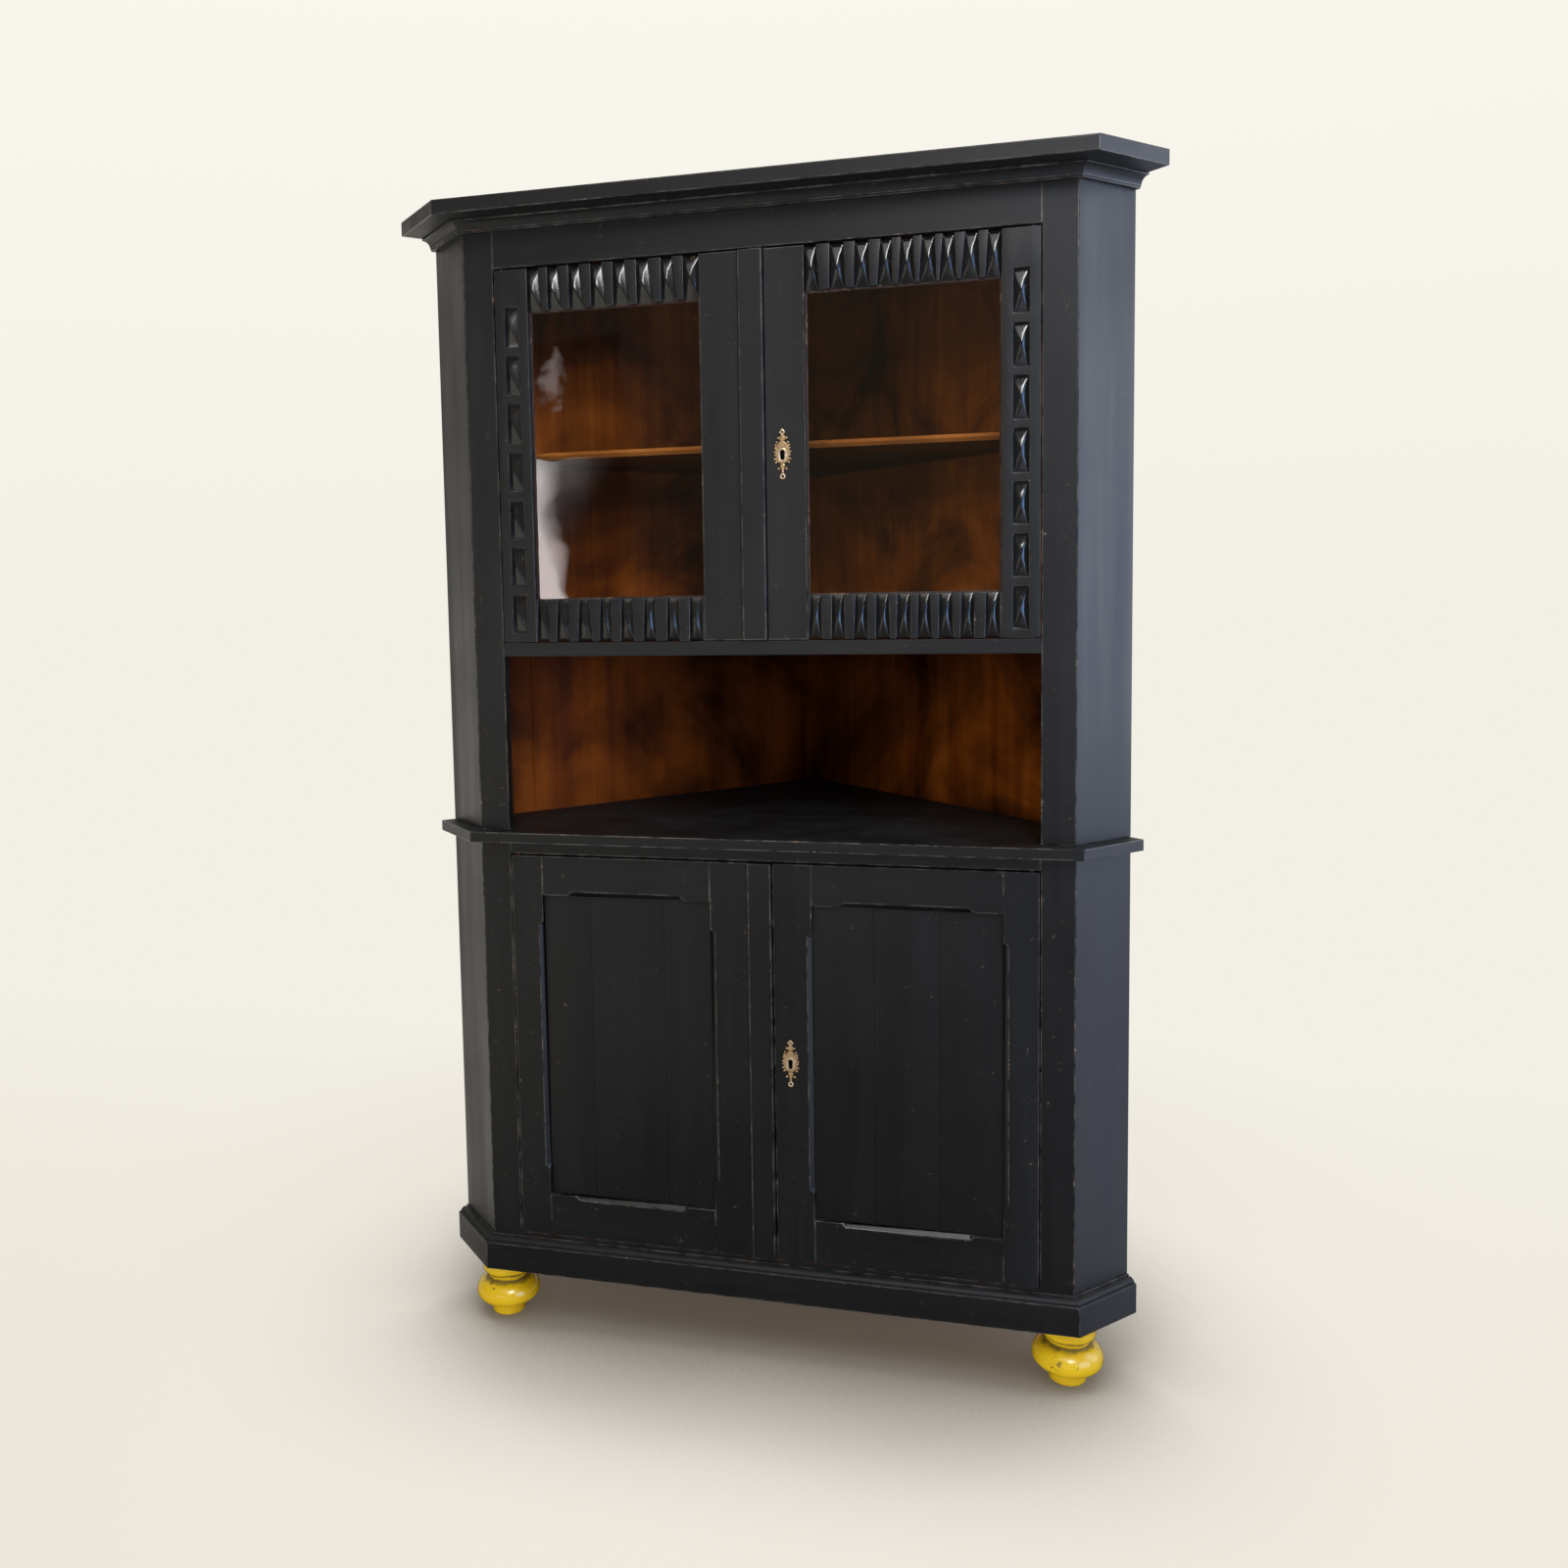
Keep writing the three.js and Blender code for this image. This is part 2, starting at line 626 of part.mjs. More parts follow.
// Recess with one four-sided diamond standing in it, to be taken out of a stile or rail
function diamondCutter(leaf, along, width, flare, low, high, endOverrun) {
  const centre = leafX(leaf, along);
  const floor = CARVING_DEPTH - PIVOT_DEPTH;
  const mouth = -PIVOT_DEPTH - OVERRUN;
  const rise = CARVING_DEPTH - CARVING_APEX_SINK;
  const reach = (rise + OVERRUN) / rise;
  const middle = (low + high) / 2;
  const outline = [[-1, low, width + flare], [1, low, width + flare], [1, high, width - flare],
    [-1, high, width - flare]];
  const recess = outline.flatMap(([sign, level, span]) => {
    const z = level + Math.sign(level - middle) * endOverrun;
    return [mouth, floor].map((y) => new THREE.Vector3(centre + (sign * span) / 2, y, z));
  });
  const base = outline.map(([sign, level, span]) => new THREE.Vector3(
    centre + (sign * span * reach) / 2,
    floor + OVERRUN,
    middle + (level - middle) * reach,
  ));
  const apex = new THREE.Vector3(centre, floor - rise, middle);
  const diamond = new ConvexGeometry([...base, apex]);
  return shaped(new ConvexGeometry(recess), [diamond]);
}

// Row of diamonds up the outer stile
function stileDiamonds(leaf) {
  const pitch = STILE_RECESS_HEIGHT + STILE_BAR_HEIGHT;
  const room = leaf.height - STILE_CARVING_FOOT - STILE_PLAIN_TOP + STILE_BAR_HEIGHT;
  const count = Math.floor(room / pitch);
  return Array.from({ length: count }, (_, index) => {
    const low = STILE_CARVING_FOOT + index * pitch;
    const high = low + STILE_RECESS_HEIGHT;
    return diamondCutter(leaf, leaf.outerStile / 2, STILE_RECESS_WIDTH, 0, low, high, 0);
  });
}

// Row of diamonds along a rail, from stile to stile
function railDiamonds(leaf, low, high) {
  const first = leaf.outerStile + (RAIL_RECESS_WIDTH + RAIL_RECESS_FLARE) / 2;
  const last = leaf.width - leaf.innerStile - (RAIL_RECESS_WIDTH + RAIL_RECESS_FLARE) / 2;
  const step = (last - first) / (leaf.diamonds - 1);
  return Array.from({ length: leaf.diamonds }, (_, index) => (
    diamondCutter(leaf, first + index * step, RAIL_RECESS_WIDTH, RAIL_RECESS_FLARE, low, high, OVERRUN)
  ));
}

// Chamfer along an arris that dies out at both ends. The place maps distances in, deep and along to a point.
function stoppedChamfer(place, from, to) {
  const section = (size, along) => [
    place(size + OVERRUN, -OVERRUN, along),
    place(-OVERRUN, size + OVERRUN, along),
    place(-OVERRUN, -OVERRUN, along),
  ];
  return new ConvexGeometry([
    ...section(0, from),
    ...section(CHAMFER_SIZE, from + CHAMFER_RUN),
    ...section(CHAMFER_SIZE, to - CHAMFER_RUN),
    ...section(0, to),
  ]);
}

function stileChamfer(leaf, edge, direction) {
  const place = (into, deep, along) => new THREE.Vector3(
    leafX(leaf, edge + direction * into),
    deep - PIVOT_DEPTH,
    along,
  );
  return stoppedChamfer(place, leaf.bottomRail + CHAMFER_STOP, leaf.height - leaf.topRail - CHAMFER_STOP);
}

function railChamfer(leaf, edge, direction) {
  const place = (into, deep, along) => new THREE.Vector3(
    leafX(leaf, along),
    deep - PIVOT_DEPTH,
    edge + direction * into,
  );
  const end = leaf.width - leaf.innerStile - CHAMFER_STOP;
  return stoppedChamfer(place, leaf.outerStile + CHAMFER_STOP, end);
}

// Depths of the slot that holds the glass or the panel, from the face of the door
function slotDepths(leaf) {
  return leaf.glazed
    ? [GLASS_RABBET_FRONT, DOOR_THICKNESS + OVERRUN]
    : [PANEL_RECESS - JOINT_GAP, PANEL_RECESS + PANEL_BOARD_THICKNESS + JOINT_GAP];
}

function slotWidth(leaf) {
  return leaf.glazed ? GLASS_RABBET_WIDTH : PANEL_GROOVE_DEPTH;
}

// Bounds of the two rails up the leaf, each with the heights of its tenon
function railBounds(leaf) {
  const keep = slotWidth(leaf) + TENON_SHOULDER;
  const top = leaf.height - leaf.topRail;
  return {
    bottom: { rail: [0, leaf.bottomRail], tenon: [TENON_SHOULDER, leaf.bottomRail - keep] },
    top: { rail: [top, leaf.height], tenon: [top + keep, leaf.height - TENON_SHOULDER] },
  };
}

const grown = ([low, high], by) => [low - by, high + by];
const tenonDepths = [TENON_FRONT, TENON_FRONT + TENON_THICKNESS];

// Mortises and slot in the edge of a stile. The direction is 1 where the opening lies past the edge.
function stileCuts(leaf, edge, direction) {
  const mortiseFloor = edge - direction * (TENON_LENGTH + JOINT_GAP);
  const slotFloor = edge - direction * slotWidth(leaf);
  const mouth = edge + direction * OVERRUN;
  const slotHeights = grown([leaf.bottomRail, leaf.height - leaf.topRail], slotWidth(leaf));
  const mortises = Object.values(railBounds(leaf)).map(({ tenon }) => (
    leafSlab(leaf, [mortiseFloor, mouth], grown(tenonDepths, JOINT_GAP), grown(tenon, JOINT_GAP))
  ));
  return [...mortises, leafSlab(leaf, [slotFloor, mouth], slotDepths(leaf), slotHeights)];
}

// Outer stile with the pivot pins at its ends
function outerStile(leaf) {
  const blank = leafSlab(leaf, [0, leaf.outerStile], [0, DOOR_THICKNESS], [0, leaf.height]);
  const finish = leaf.glazed ? stileDiamonds(leaf) : [stileChamfer(leaf, leaf.outerStile, -1)];
  const topPin = peg(PIN_RADIUS, 0, 0, leaf.height - OVERRUN, leaf.height + DOOR_TOP_GAP + PIN_SEAT, PIN_SIDES);
  const bottomPin = peg(PIN_RADIUS, 0, 0, -DOOR_BOTTOM_GAP - PIN_SEAT, OVERRUN, PIN_SIDES);
  const cuts = [...stileCuts(leaf, leaf.outerStile, 1), ...finish];
  return piece(`${leaf.name}_outer_stile`, shaped(blank, cuts, [topPin, bottomPin]), BLACK_PAINT);
}

function innerStile(leaf) {
  const edge = leaf.width - leaf.innerStile;
  const blank = leafSlab(leaf, [edge, leaf.width], [0, DOOR_THICKNESS], [0, leaf.height]);
  const cuts = stileCuts(leaf, edge, -1);
  if (!leaf.glazed) {
    cuts.push(stileChamfer(leaf, edge, 1));
  }
  if (leaf.lockRise) {
    cuts.push(keyholeCutter(leaf));
  }
  return piece(`${leaf.name}_inner_stile`, shaped(blank, cuts), BLACK_PAINT);
}

function doorRail(leaf, label, bounds, innerEdge, direction) {
  const from = leaf.outerStile + JOINT_GAP;
  const to = leaf.width - leaf.innerStile - JOINT_GAP;
  const blank = leafSlab(leaf, [from, to], [0, DOOR_THICKNESS], bounds.rail);
  const ends = [from + JOINT_GAP - TENON_LENGTH, to - JOINT_GAP + TENON_LENGTH];
  const tenon = leafSlab(leaf, ends, tenonDepths, bounds.tenon);
  const slotUp = [innerEdge + direction * OVERRUN, innerEdge - direction * slotWidth(leaf)];
  const slot = leafSlab(leaf, grown([from, to], OVERRUN), slotDepths(leaf), slotUp);
  const finish = leaf.glazed
    ? railDiamonds(leaf, ...bounds.rail)
    : [railChamfer(leaf, innerEdge, -direction)];
  return piece(`${leaf.name}_${label}_rail`, shaped(blank, [slot, ...finish], [tenon]), BLACK_PAINT);
}

function glassPane(leaf) {
  const reach = GLASS_RABBET_WIDTH - GLASS_EDGE_PLAY;
  const along = grown([leaf.outerStile, leaf.width - leaf.innerStile], reach);
  const up = grown([leaf.bottomRail, leaf.height - leaf.topRail], reach);
  const front = GLASS_RABBET_FRONT + JOINT_GAP;
  return piece(`${leaf.name}_glass`, leafSlab(leaf, along, [front, front + GLASS_THICKNESS], up), OLD_GLASS);
}

// Three upright boards side by side in the grooves of the frame
function panelBoards(leaf) {
  const reach = PANEL_GROOVE_DEPTH - PANEL_EDGE_PLAY;
  const [start, end] = [leaf.outerStile, leaf.width - leaf.innerStile];
  const joints = leaf.jointShares.map((share) => start + share * (end - start));
  const edges = [start - reach, ...joints, end + reach];
  const up = grown([leaf.bottomRail, leaf.height - leaf.topRail], reach);
  const deep = [PANEL_RECESS, PANEL_RECESS + PANEL_BOARD_THICKNESS];
  return edges.slice(1).map((edge, index) => {
    const along = [edges[index] + PANEL_BOARD_GAP / 2, edge - PANEL_BOARD_GAP / 2];
    return piece(`${leaf.name}_board_${index + 1}`, leafSlab(leaf, along, deep, up), BLACK_PAINT);
  });
}

// Flat strip with eased arrises on the face of the left leaf, flush with its meeting edge
function coverStrip(leaf) {
  const back = -JOINT_GAP;
  const arris = COVER_STRIP_ARRIS;
  const along = [leaf.width - COVER_STRIP_WIDTH, leaf.width];
  const eased = [along[0] + arris, along[1] - arris];
  const outline = [
    [along[0], back], [along[0], -COVER_STRIP_PROUD + arris], [eased[0], -COVER_STRIP_PROUD],
    [eased[1], -COVER_STRIP_PROUD], [along[1], -COVER_STRIP_PROUD + arris], [along[1], back],
  ].map(([distance, deep]) => new THREE.Vector2(leafX(leaf, distance), deep - PIVOT_DEPTH));
  return piece(`${leaf.name}_cover_strip`, board(outline, 0, leaf.height), BLACK_PAINT);
}

// Keyhole outline grown by a margin: a round eye over a foot that narrows
function keyholePoints(margin) {
  const eye = KEYHOLE_RADIUS + margin;
  const foot = KEYHOLE_FOOT_WIDTH / 2 + margin;
  const eyeUp = (KEYHOLE_DROP - KEYHOLE_RADIUS) / 2;
  const join = Math.asin(Math.min(1, foot / eye));
  const from = -Math.PI / 2 + join;
  const to = (3 * Math.PI) / 2 - join;
  const points = Array.from({ length: 2 * ARC_STEPS + 1 }, (_, step) => {
    const angle = from + ((to - from) * step) / (2 * ARC_STEPS);
    return new THREE.Vector2(eye * Math.cos(angle), eyeUp + eye * Math.sin(angle));
  });
  const low = eyeUp - KEYHOLE_DROP - margin;
  return [...points, new THREE.Vector2(-foot, low), new THREE.Vector2(foot, low)];
}

// Flat figure drawn on the door's face round the key, standing out from one depth to another
function figure(leaf, points, innerDeep, outerDeep) {
  const geometry = new THREE.ExtrudeGeometry(new THREE.Shape(points), {
    depth: innerDeep - outerDeep,
    bevelEnabled: false,
  });
  geometry.rotateX(Math.PI / 2);
  geometry.translate(leafX(leaf, leaf.width - LOCK_BACKSET), innerDeep - PIVOT_DEPTH, leaf.lockRise);
  return geometry;
}

function keyholeCutter(leaf) {
  return figure(leaf, keyholePoints(0), DOOR_THICKNESS + OVERRUN, -OVERRUN);
}

function circlePoints(x, y, radius) {
  return Array.from({ length: LOBE_SIDES }, (_, step) => {
    const angle = (TURN * step) / LOBE_SIDES;
    return new THREE.Vector2(x + radius * Math.cos(angle), y + radius * Math.sin(angle));
  });
}

// Cast brass plate: lobed outline, a finial and a ring with nail holes, and a raised rim round the key
function escutcheon(leaf) {
  const [halfWidth, halfHeight] = [ESCUTCHEON_WIDTH / 2, ESCUTCHEON_HEIGHT / 2];
  const back = -JOINT_GAP;
  const front = back - ESCUTCHEON_THICKNESS;
  const rimFront = front - ESCUTCHEON_RIM_PROUD;
  const flank = PLATE_OUTLINE_SHARES.map(([across, up]) => [across * halfWidth, up * halfHeight]);
  const outline = [...flank, ...flank.map(([x, y]) => [-x, y]).reverse()];
  const plate = figure(leaf, outline.map(([x, y]) => new THREE.Vector2(x, y)), back, front);
  const lobes = LOBE_SHARES.flatMap(([across, up, size]) => [-1, 1].map((sign) => (
    circlePoints(sign * across * halfWidth, up * halfHeight, size * halfWidth)
  )));
  const finial = circlePoints(0, FINIAL_UP_SHARE * halfHeight, FINIAL_RADIUS_SHARE * halfWidth);
  finial.splice(LOBE_SIDES / 4, 1, new THREE.Vector2(0, halfHeight));
  const ring = circlePoints(0, RING_UP_SHARE * halfHeight, RING_RADIUS_SHARE * halfWidth);
  const raised = figure(leaf, keyholePoints(KEYHOLE_RIM_WIDTH), back, rimFront);
  const flats = [...lobes, finial, ring].map((points) => figure(leaf, points, back, front));
  const body = shaped(plate, [], [...flats, raised]);
  const holes = [FINIAL_UP_SHARE, RING_UP_SHARE].map((share) => (
    figure(leaf, circlePoints(0, share * halfHeight, NAIL_HOLE_RADIUS), OVERRUN, rimFront - OVERRUN)
  ));
  const key = figure(leaf, keyholePoints(0), OVERRUN, rimFront - OVERRUN);
  return piece(`${leaf.name}_escutcheon`, shaped(body, [key, ...holes]), BRASS);
}

// Depths and heights of the bolt, from the face of the door
function boltBounds(leaf) {
  const front = DOOR_THICKNESS + BOLT_BACK_GAP;
  return {
    deep: [front, front + BOLT_THICKNESS],
    up: [leaf.lockRise - BOLT_HEIGHT / 2, leaf.lockRise + BOLT_HEIGHT / 2],
  };
}

// Iron box screwed to the back of the stile, open towards the wood, with a slot for the bolt
function lockCase(leaf) {
  const edge = leaf.width - LOCK_CASE_EDGE_INSET;
  const along = [edge - LOCK_CASE_WIDTH, edge];
  const back = DOOR_THICKNESS + JOINT_GAP;
  const up = [leaf.lockRise - LOCK_CASE_HEIGHT / 2, leaf.lockRise + LOCK_CASE_HEIGHT / 2];
  const blank = leafSlab(leaf, along, [back, back + LOCK_CASE_DEPTH], up);
  const inside = [back - OVERRUN, back + LOCK_CASE_DEPTH - LOCK_CASE_WALL];
  const hollow = leafSlab(leaf, grown(along, -LOCK_CASE_WALL), inside, grown(up, -LOCK_CASE_WALL));
  const bolt = boltBounds(leaf);
  const through = [edge - LOCK_CASE_WALL - OVERRUN, edge + OVERRUN];
  const slot = leafSlab(leaf, through, grown(bolt.deep, JOINT_GAP), grown(bolt.up, JOINT_GAP));
  return piece(`${leaf.name}_lock_case`, shaped(blank, [hollow, slot]), IRON);
}

// Bolt drawn back flush with the lock case
function lockBolt(leaf) {
  const edge = leaf.width - LOCK_CASE_EDGE_INSET;
  const { deep, up } = boltBounds(leaf);
  return piece(`${leaf.name}_lock_bolt`, leafSlab(leaf, [edge - BOLT_LENGTH, edge], deep, up), IRON);
}

// One door leaf in a group that turns about its pivot pins
function door(stage, side) {
  const isLeft = side < 0;
  const leaf = {
    side,
    name: `${stage.name}_${isLeft ? 'left' : 'right'}_door`,
    glazed: stage.glazed,
    width: halfOpening - DOOR_SIDE_GAP - side * MEETING_LINE_X - MEETING_GAP / 2,
    height: stage.openingHeight - DOOR_TOP_GAP - DOOR_BOTTOM_GAP,
    outerStile: stage.outerStile,
    innerStile: INNER_STILE_WIDTH + (isLeft ? COVER_STRIP_WIDTH : 0),
    topRail: stage.topRail,
    bottomRail: stage.bottomRail,
    diamonds: isLeft ? LEFT_RAIL_DIAMONDS : RIGHT_RAIL_DIAMONDS,
    jointShares: isLeft ? LEFT_BOARD_JOINT_SHARES : RIGHT_BOARD_JOINT_SHARES,
    lockRise: isLeft ? 0 : stage.lockRise,
  };
  const bounds = railBounds(leaf);
  const group = new THREE.Group();
  group.position.set(pivotX(side), PIVOT_DEPTH, stage.openingBottom + DOOR_BOTTOM_GAP);
  group.add(outerStile(leaf), innerStile(leaf));
  group.add(doorRail(leaf, 'bottom', bounds.bottom, leaf.bottomRail, 1));
  group.add(doorRail(leaf, 'top', bounds.top, leaf.height - leaf.topRail, -1));
  group.add(...(leaf.glazed ? [glassPane(leaf)] : panelBoards(leaf)));
  group.add(...(isLeft ? [coverStrip(leaf)] : [escutcheon(leaf), lockCase(leaf), lockBolt(leaf)]));
  return group;
}

const UPPER_STAGE = {
  name: 'upper',
  glazed: true,
  openingBottom: caseFloorTop,
  openingHeight: UPPER_OPENING_HEIGHT,
  outerStile: UPPER_OUTER_STILE_WIDTH,
  topRail: UPPER_TOP_RAIL_WIDTH,
  bottomRail: UPPER_BOTTOM_RAIL_WIDTH,
  lockRise: UPPER_LOCK_RISE,
};
const LOWER_STAGE = {
  name: 'lower',
  glazed: false,
  openingBottom: floorTop,
  openingHeight: LOWER_OPENING_HEIGHT,
  outerStile: LOWER_OUTER_STILE_WIDTH,
  topRail: LOWER_DOOR_TOP_RAIL_WIDTH,
  bottomRail: LOWER_DOOR_BOTTOM_RAIL_WIDTH,
  lockRise: LOWER_LOCK_RISE,
};

const cupboard = new THREE.Group();
cupboard.add(caseGroup());
for (const stage of [UPPER_STAGE, LOWER_STAGE]) {
  cupboard.add(door(stage, -1), door(stage, 1));
}
// The outline box runs from the overhang of the top board to the rear corner
cupboard.position.y = (TOP_OVERHANG - cornerDepth) / 2;

export default cupboard;
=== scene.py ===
"""Corner cupboard: carved glass doors over an open niche, panelled doors below, on turned feet.

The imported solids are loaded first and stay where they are. Every piece made here stands for
some of them, in the same frame. Sizes of pieces are in millimetres, and places in the finishes
and in the room are in metres.
"""
import logging
import math
import random
from dataclasses import dataclass, field, replace
from enum import Enum
from typing import Callable, ClassVar, Optional, Sequence

import bmesh
import bpy
from mathutils import Matrix, Vector


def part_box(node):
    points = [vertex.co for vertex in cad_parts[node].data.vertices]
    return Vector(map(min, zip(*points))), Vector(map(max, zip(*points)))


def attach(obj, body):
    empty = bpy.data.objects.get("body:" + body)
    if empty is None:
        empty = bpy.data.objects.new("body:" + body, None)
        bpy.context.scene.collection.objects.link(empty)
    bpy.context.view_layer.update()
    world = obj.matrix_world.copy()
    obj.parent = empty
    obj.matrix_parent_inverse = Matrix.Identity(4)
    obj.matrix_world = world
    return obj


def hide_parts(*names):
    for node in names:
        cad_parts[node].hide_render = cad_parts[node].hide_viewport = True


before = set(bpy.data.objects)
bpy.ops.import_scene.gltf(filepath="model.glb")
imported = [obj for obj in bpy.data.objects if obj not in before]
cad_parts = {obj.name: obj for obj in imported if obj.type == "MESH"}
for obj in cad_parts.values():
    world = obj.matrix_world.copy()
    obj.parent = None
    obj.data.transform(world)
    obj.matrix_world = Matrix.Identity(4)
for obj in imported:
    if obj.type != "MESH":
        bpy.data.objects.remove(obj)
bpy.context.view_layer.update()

LOG = logging.getLogger("corner_cupboard")
Piece = bpy.types.Object
Colour = tuple[float, float, float]
Triple = tuple[float, float, float]
Pair = tuple[float, float]
Notch = tuple[float, float, float, float]

MM = 0.001
MERGE = 0.00002
FLATNESS = math.radians(0.6)
# The numbers of a board's finishes. The first one, 0, is its plain face.
EASED, STAINED, CANTED_OR_CARVED, CHAMFERED = 1, 2, 3, 4
RETURN_TURN = math.radians(46.8)
RIGHT_OUTWARD = Vector((0.729, -0.685, 0.0))
LEFT_OUTWARD = Vector((-0.729, -0.685, 0.0))
TO_REAR = Vector((0.0, 1.0, 0.0))
FRONT_UP = Vector((0.0, -1.0, 1.0)).normalized()
LYING = (math.radians(90.0), 0.0, 0.0)


class Grain(Enum):
    """Which way the grain of a board runs: (stretch along X, Y, Z) and the turn about Z."""

    UP = ((1.0, 1.0, 16.0), 0.0)
    ACROSS = ((16.0, 1.0, 1.0), 0.0)
    RIGHT_RETURN = ((16.0, 1.0, 1.0), RETURN_TURN)
    LEFT_RETURN = ((16.0, 1.0, 1.0), -RETURN_TURN)


class Side(Enum):
    """Left or right half of the cupboard, seen from the front."""

    LEFT = -1
    RIGHT = 1

    @property
    def word(self) -> str:
        """The side's word in the names of the pieces."""
        return self.name.lower()

    def span(self, one: float, other: float) -> list[float]:
        """Two distances from the middle as places on this side, the left one first."""
        return sorted((self.value * one, self.value * other))


# Bench work


def metres(*sizes: float) -> tuple[float, ...]:
    """Sizes in millimetres, in metres."""
    return tuple(size * MM for size in sizes)


def clear_bench() -> None:
    """Leaves edit mode and deselects every object."""
    if bpy.context.object is not None and bpy.context.object.mode != "OBJECT":
        bpy.ops.object.mode_set(mode="OBJECT")
    bpy.ops.object.select_all(action="DESELECT")


def lay_out(*pieces: Piece) -> None:
    """Selects some pieces alone and makes the first one active.

    Args:
        pieces: the objects to work on.
    """
    clear_bench()
    for piece in pieces:
        piece.select_set(True)
    bpy.context.view_layer.objects.active = pieces[0]


class Bench:
    """The bench a piece lies on while it is shaped in edit mode."""

    def __init__(self, piece: Piece) -> None:
        """Keeps the piece."""
        self.piece = piece

    def __enter__(self) -> "Bench":
        """Opens the piece in edit mode, all of it selected.

        Returns:
            The bench.
        """
        lay_out(self.piece)
        bpy.ops.object.mode_set(mode="EDIT")
        self.everything()
        return self

    def __exit__(self, *trouble: object) -> None:
        """Closes edit mode, also when something went wrong."""
        bpy.ops.object.mode_set(mode="OBJECT")

    def everything(self) -> None:
        """Selects all faces."""
        bpy.ops.mesh.select_mode(type="FACE")
        bpy.ops.mesh.select_all(action="SELECT")

    def choose(self, kind: str, test: Callable[..., bool]) -> None:
        """Selects what passes a test.

        Args:
            kind: VERT, EDGE or FACE.
            test: takes a bmesh vertex, edge or face.
        """
        bpy.ops.mesh.select_mode(type=kind)
        bpy.ops.mesh.select_all(action="DESELECT")
        mesh = bmesh.from_edit_mesh(self.piece.data)
        mesh.normal_update()
        for item in {"VERT": mesh.verts, "EDGE": mesh.edges, "FACE": mesh.faces}[kind]:
            item.select_set(item.select or bool(test(item)))
        mesh.select_flush_mode()
        bmesh.update_edit_mesh(self.piece.data)

    def slice(self, point: Triple, normal: Triple) -> None:
        """Cuts all of the piece's faces along a plane through a point, in metres."""
        self.everything()
        bpy.ops.mesh.bisect(plane_co=point, plane_no=Vector(normal).normalized(), threshold=MERGE)


def settled(name: str) -> Piece:
    """Names the active object and puts its place into its mesh.

    Args:
        name: the object's name.

    Returns:
        The active object, at the origin.
    """
    piece = bpy.context.active_object
    piece.name = piece.data.name = name
    bpy.ops.object.transform_apply(location=True, rotation=True, scale=True)
    return piece


def added(kind: str, name: str, **settings: object) -> Piece:
    """Adds one of Blender's primitives.

    Args:
        kind: cube, cylinder, uv_sphere, torus, circle or plane.
        name: the new object's name.
        settings: the primitive's settings.

    Returns:
        The new object, at the origin with its place in its mesh.
    """
    clear_bench()
    getattr(bpy.ops.mesh, f"primitive_{kind}_add")(**settings)
    return settled(name)


def block(name: str, low: Sequence[float], high: Sequence[float]) -> Piece:
    """Adds a plain block between its lowest and highest corner, in millimetres."""
    ends = Vector(low) * MM, Vector(high) * MM
    return added("cube", name, size=1.0, location=(ends[0] + ends[1]) / 2, scale=ends[1] - ends[0])


def work(piece: Piece, kind: str, **settings: object) -> None:
    """Adds a modifier and applies it.

    Args:
        piece: the object.
        kind: the modifier's type.
        settings: the modifier's settings.
    """
    lay_out(piece)
    modifier = piece.modifiers.new(kind.lower(), kind)
    for name, value in settings.items():
        setattr(modifier, name, value)
    bpy.ops.object.modifier_apply(modifier=modifier.name)


def cut_away(piece: Piece, cutter: Piece) -> None:
    """Cuts one object out of another and throws the cutter away."""
    work(piece, "BOOLEAN", operation="DIFFERENCE", object=cutter, solver="EXACT")
    bpy.data.objects.remove(cutter, do_unlink=True)


def smooth(piece: Piece, degrees: float = 32.0) -> None:
    """Shades a piece smooth except over edges that turn by more than some degrees."""
    lay_out(piece)
    bpy.ops.object.shade_smooth_by_angle(angle=math.radians(degrees))


def joined(name: str, parts: Sequence[Piece]) -> Piece:
    """Joins several objects into one.

    Args:
        name: the name of the whole.
        parts: the objects.

    Returns:
        The whole.
    """
    lay_out(*parts)
    bpy.ops.object.join()
    return settled(name)


def linked(name: str, mesh: bpy.types.Mesh) -> Piece:
    """Puts a new object with a mesh into the scene.

    Args:
        name: the object's name.
        mesh: its mesh.

    Returns:
        The object.
    """
    piece = bpy.data.objects.new(name, mesh)
    bpy.context.collection.objects.link(piece)
    return piece


def copied(node: str, name: str) -> Piece:
    """Copies the mesh of a solid into a new object, merged and with its flat faces whole again.

    Args:
        node: the solid's name.
        name: the copy's name.

    Returns:
        The new object.
    """
    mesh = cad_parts[node].data.copy()
    mesh.name = name
    mesh.materials.clear()
    piece = linked(name, mesh)
    lay_out(piece)
    bpy.ops.mesh.customdata_custom_splitnormals_clear()
    with Bench(piece):
        bpy.ops.mesh.remove_doubles(threshold=MERGE)
        bpy.ops.mesh.dissolve_limited(angle_limit=FLATNESS)
    return piece


def rounded(piece: Piece, weight_of: Callable[[bmesh.types.BMEdge], float], width: float,
            segments: int, profile: float, **settings: object) -> None:
    """Rounds the edges of a piece by their weights, with its second finish.

    Args:
        piece: the object.
        weight_of: gives an edge's weight, 0 to 1.
        width: how wide an edge of weight 1 is rounded.
        segments: in how many steps.
        profile: how full the rounding is.
        settings: other settings of the modifier.
    """
    mesh = bmesh.new()
    mesh.from_mesh(piece.data)
    mesh.normal_update()
    layers = mesh.edges.layers.float
    weight = layers.get("bevel_weight_edge") or layers.new("bevel_weight_edge")
    for edge in mesh.edges:
        edge[weight] = weight_of(edge)
    mesh.to_mesh(piece.data)
    mesh.free()
    work(piece, "BEVEL", limit_method="WEIGHT", width=width * MM, segments=segments, profile=profile,
         material=EASED, use_clamp_overlap=False, **settings)


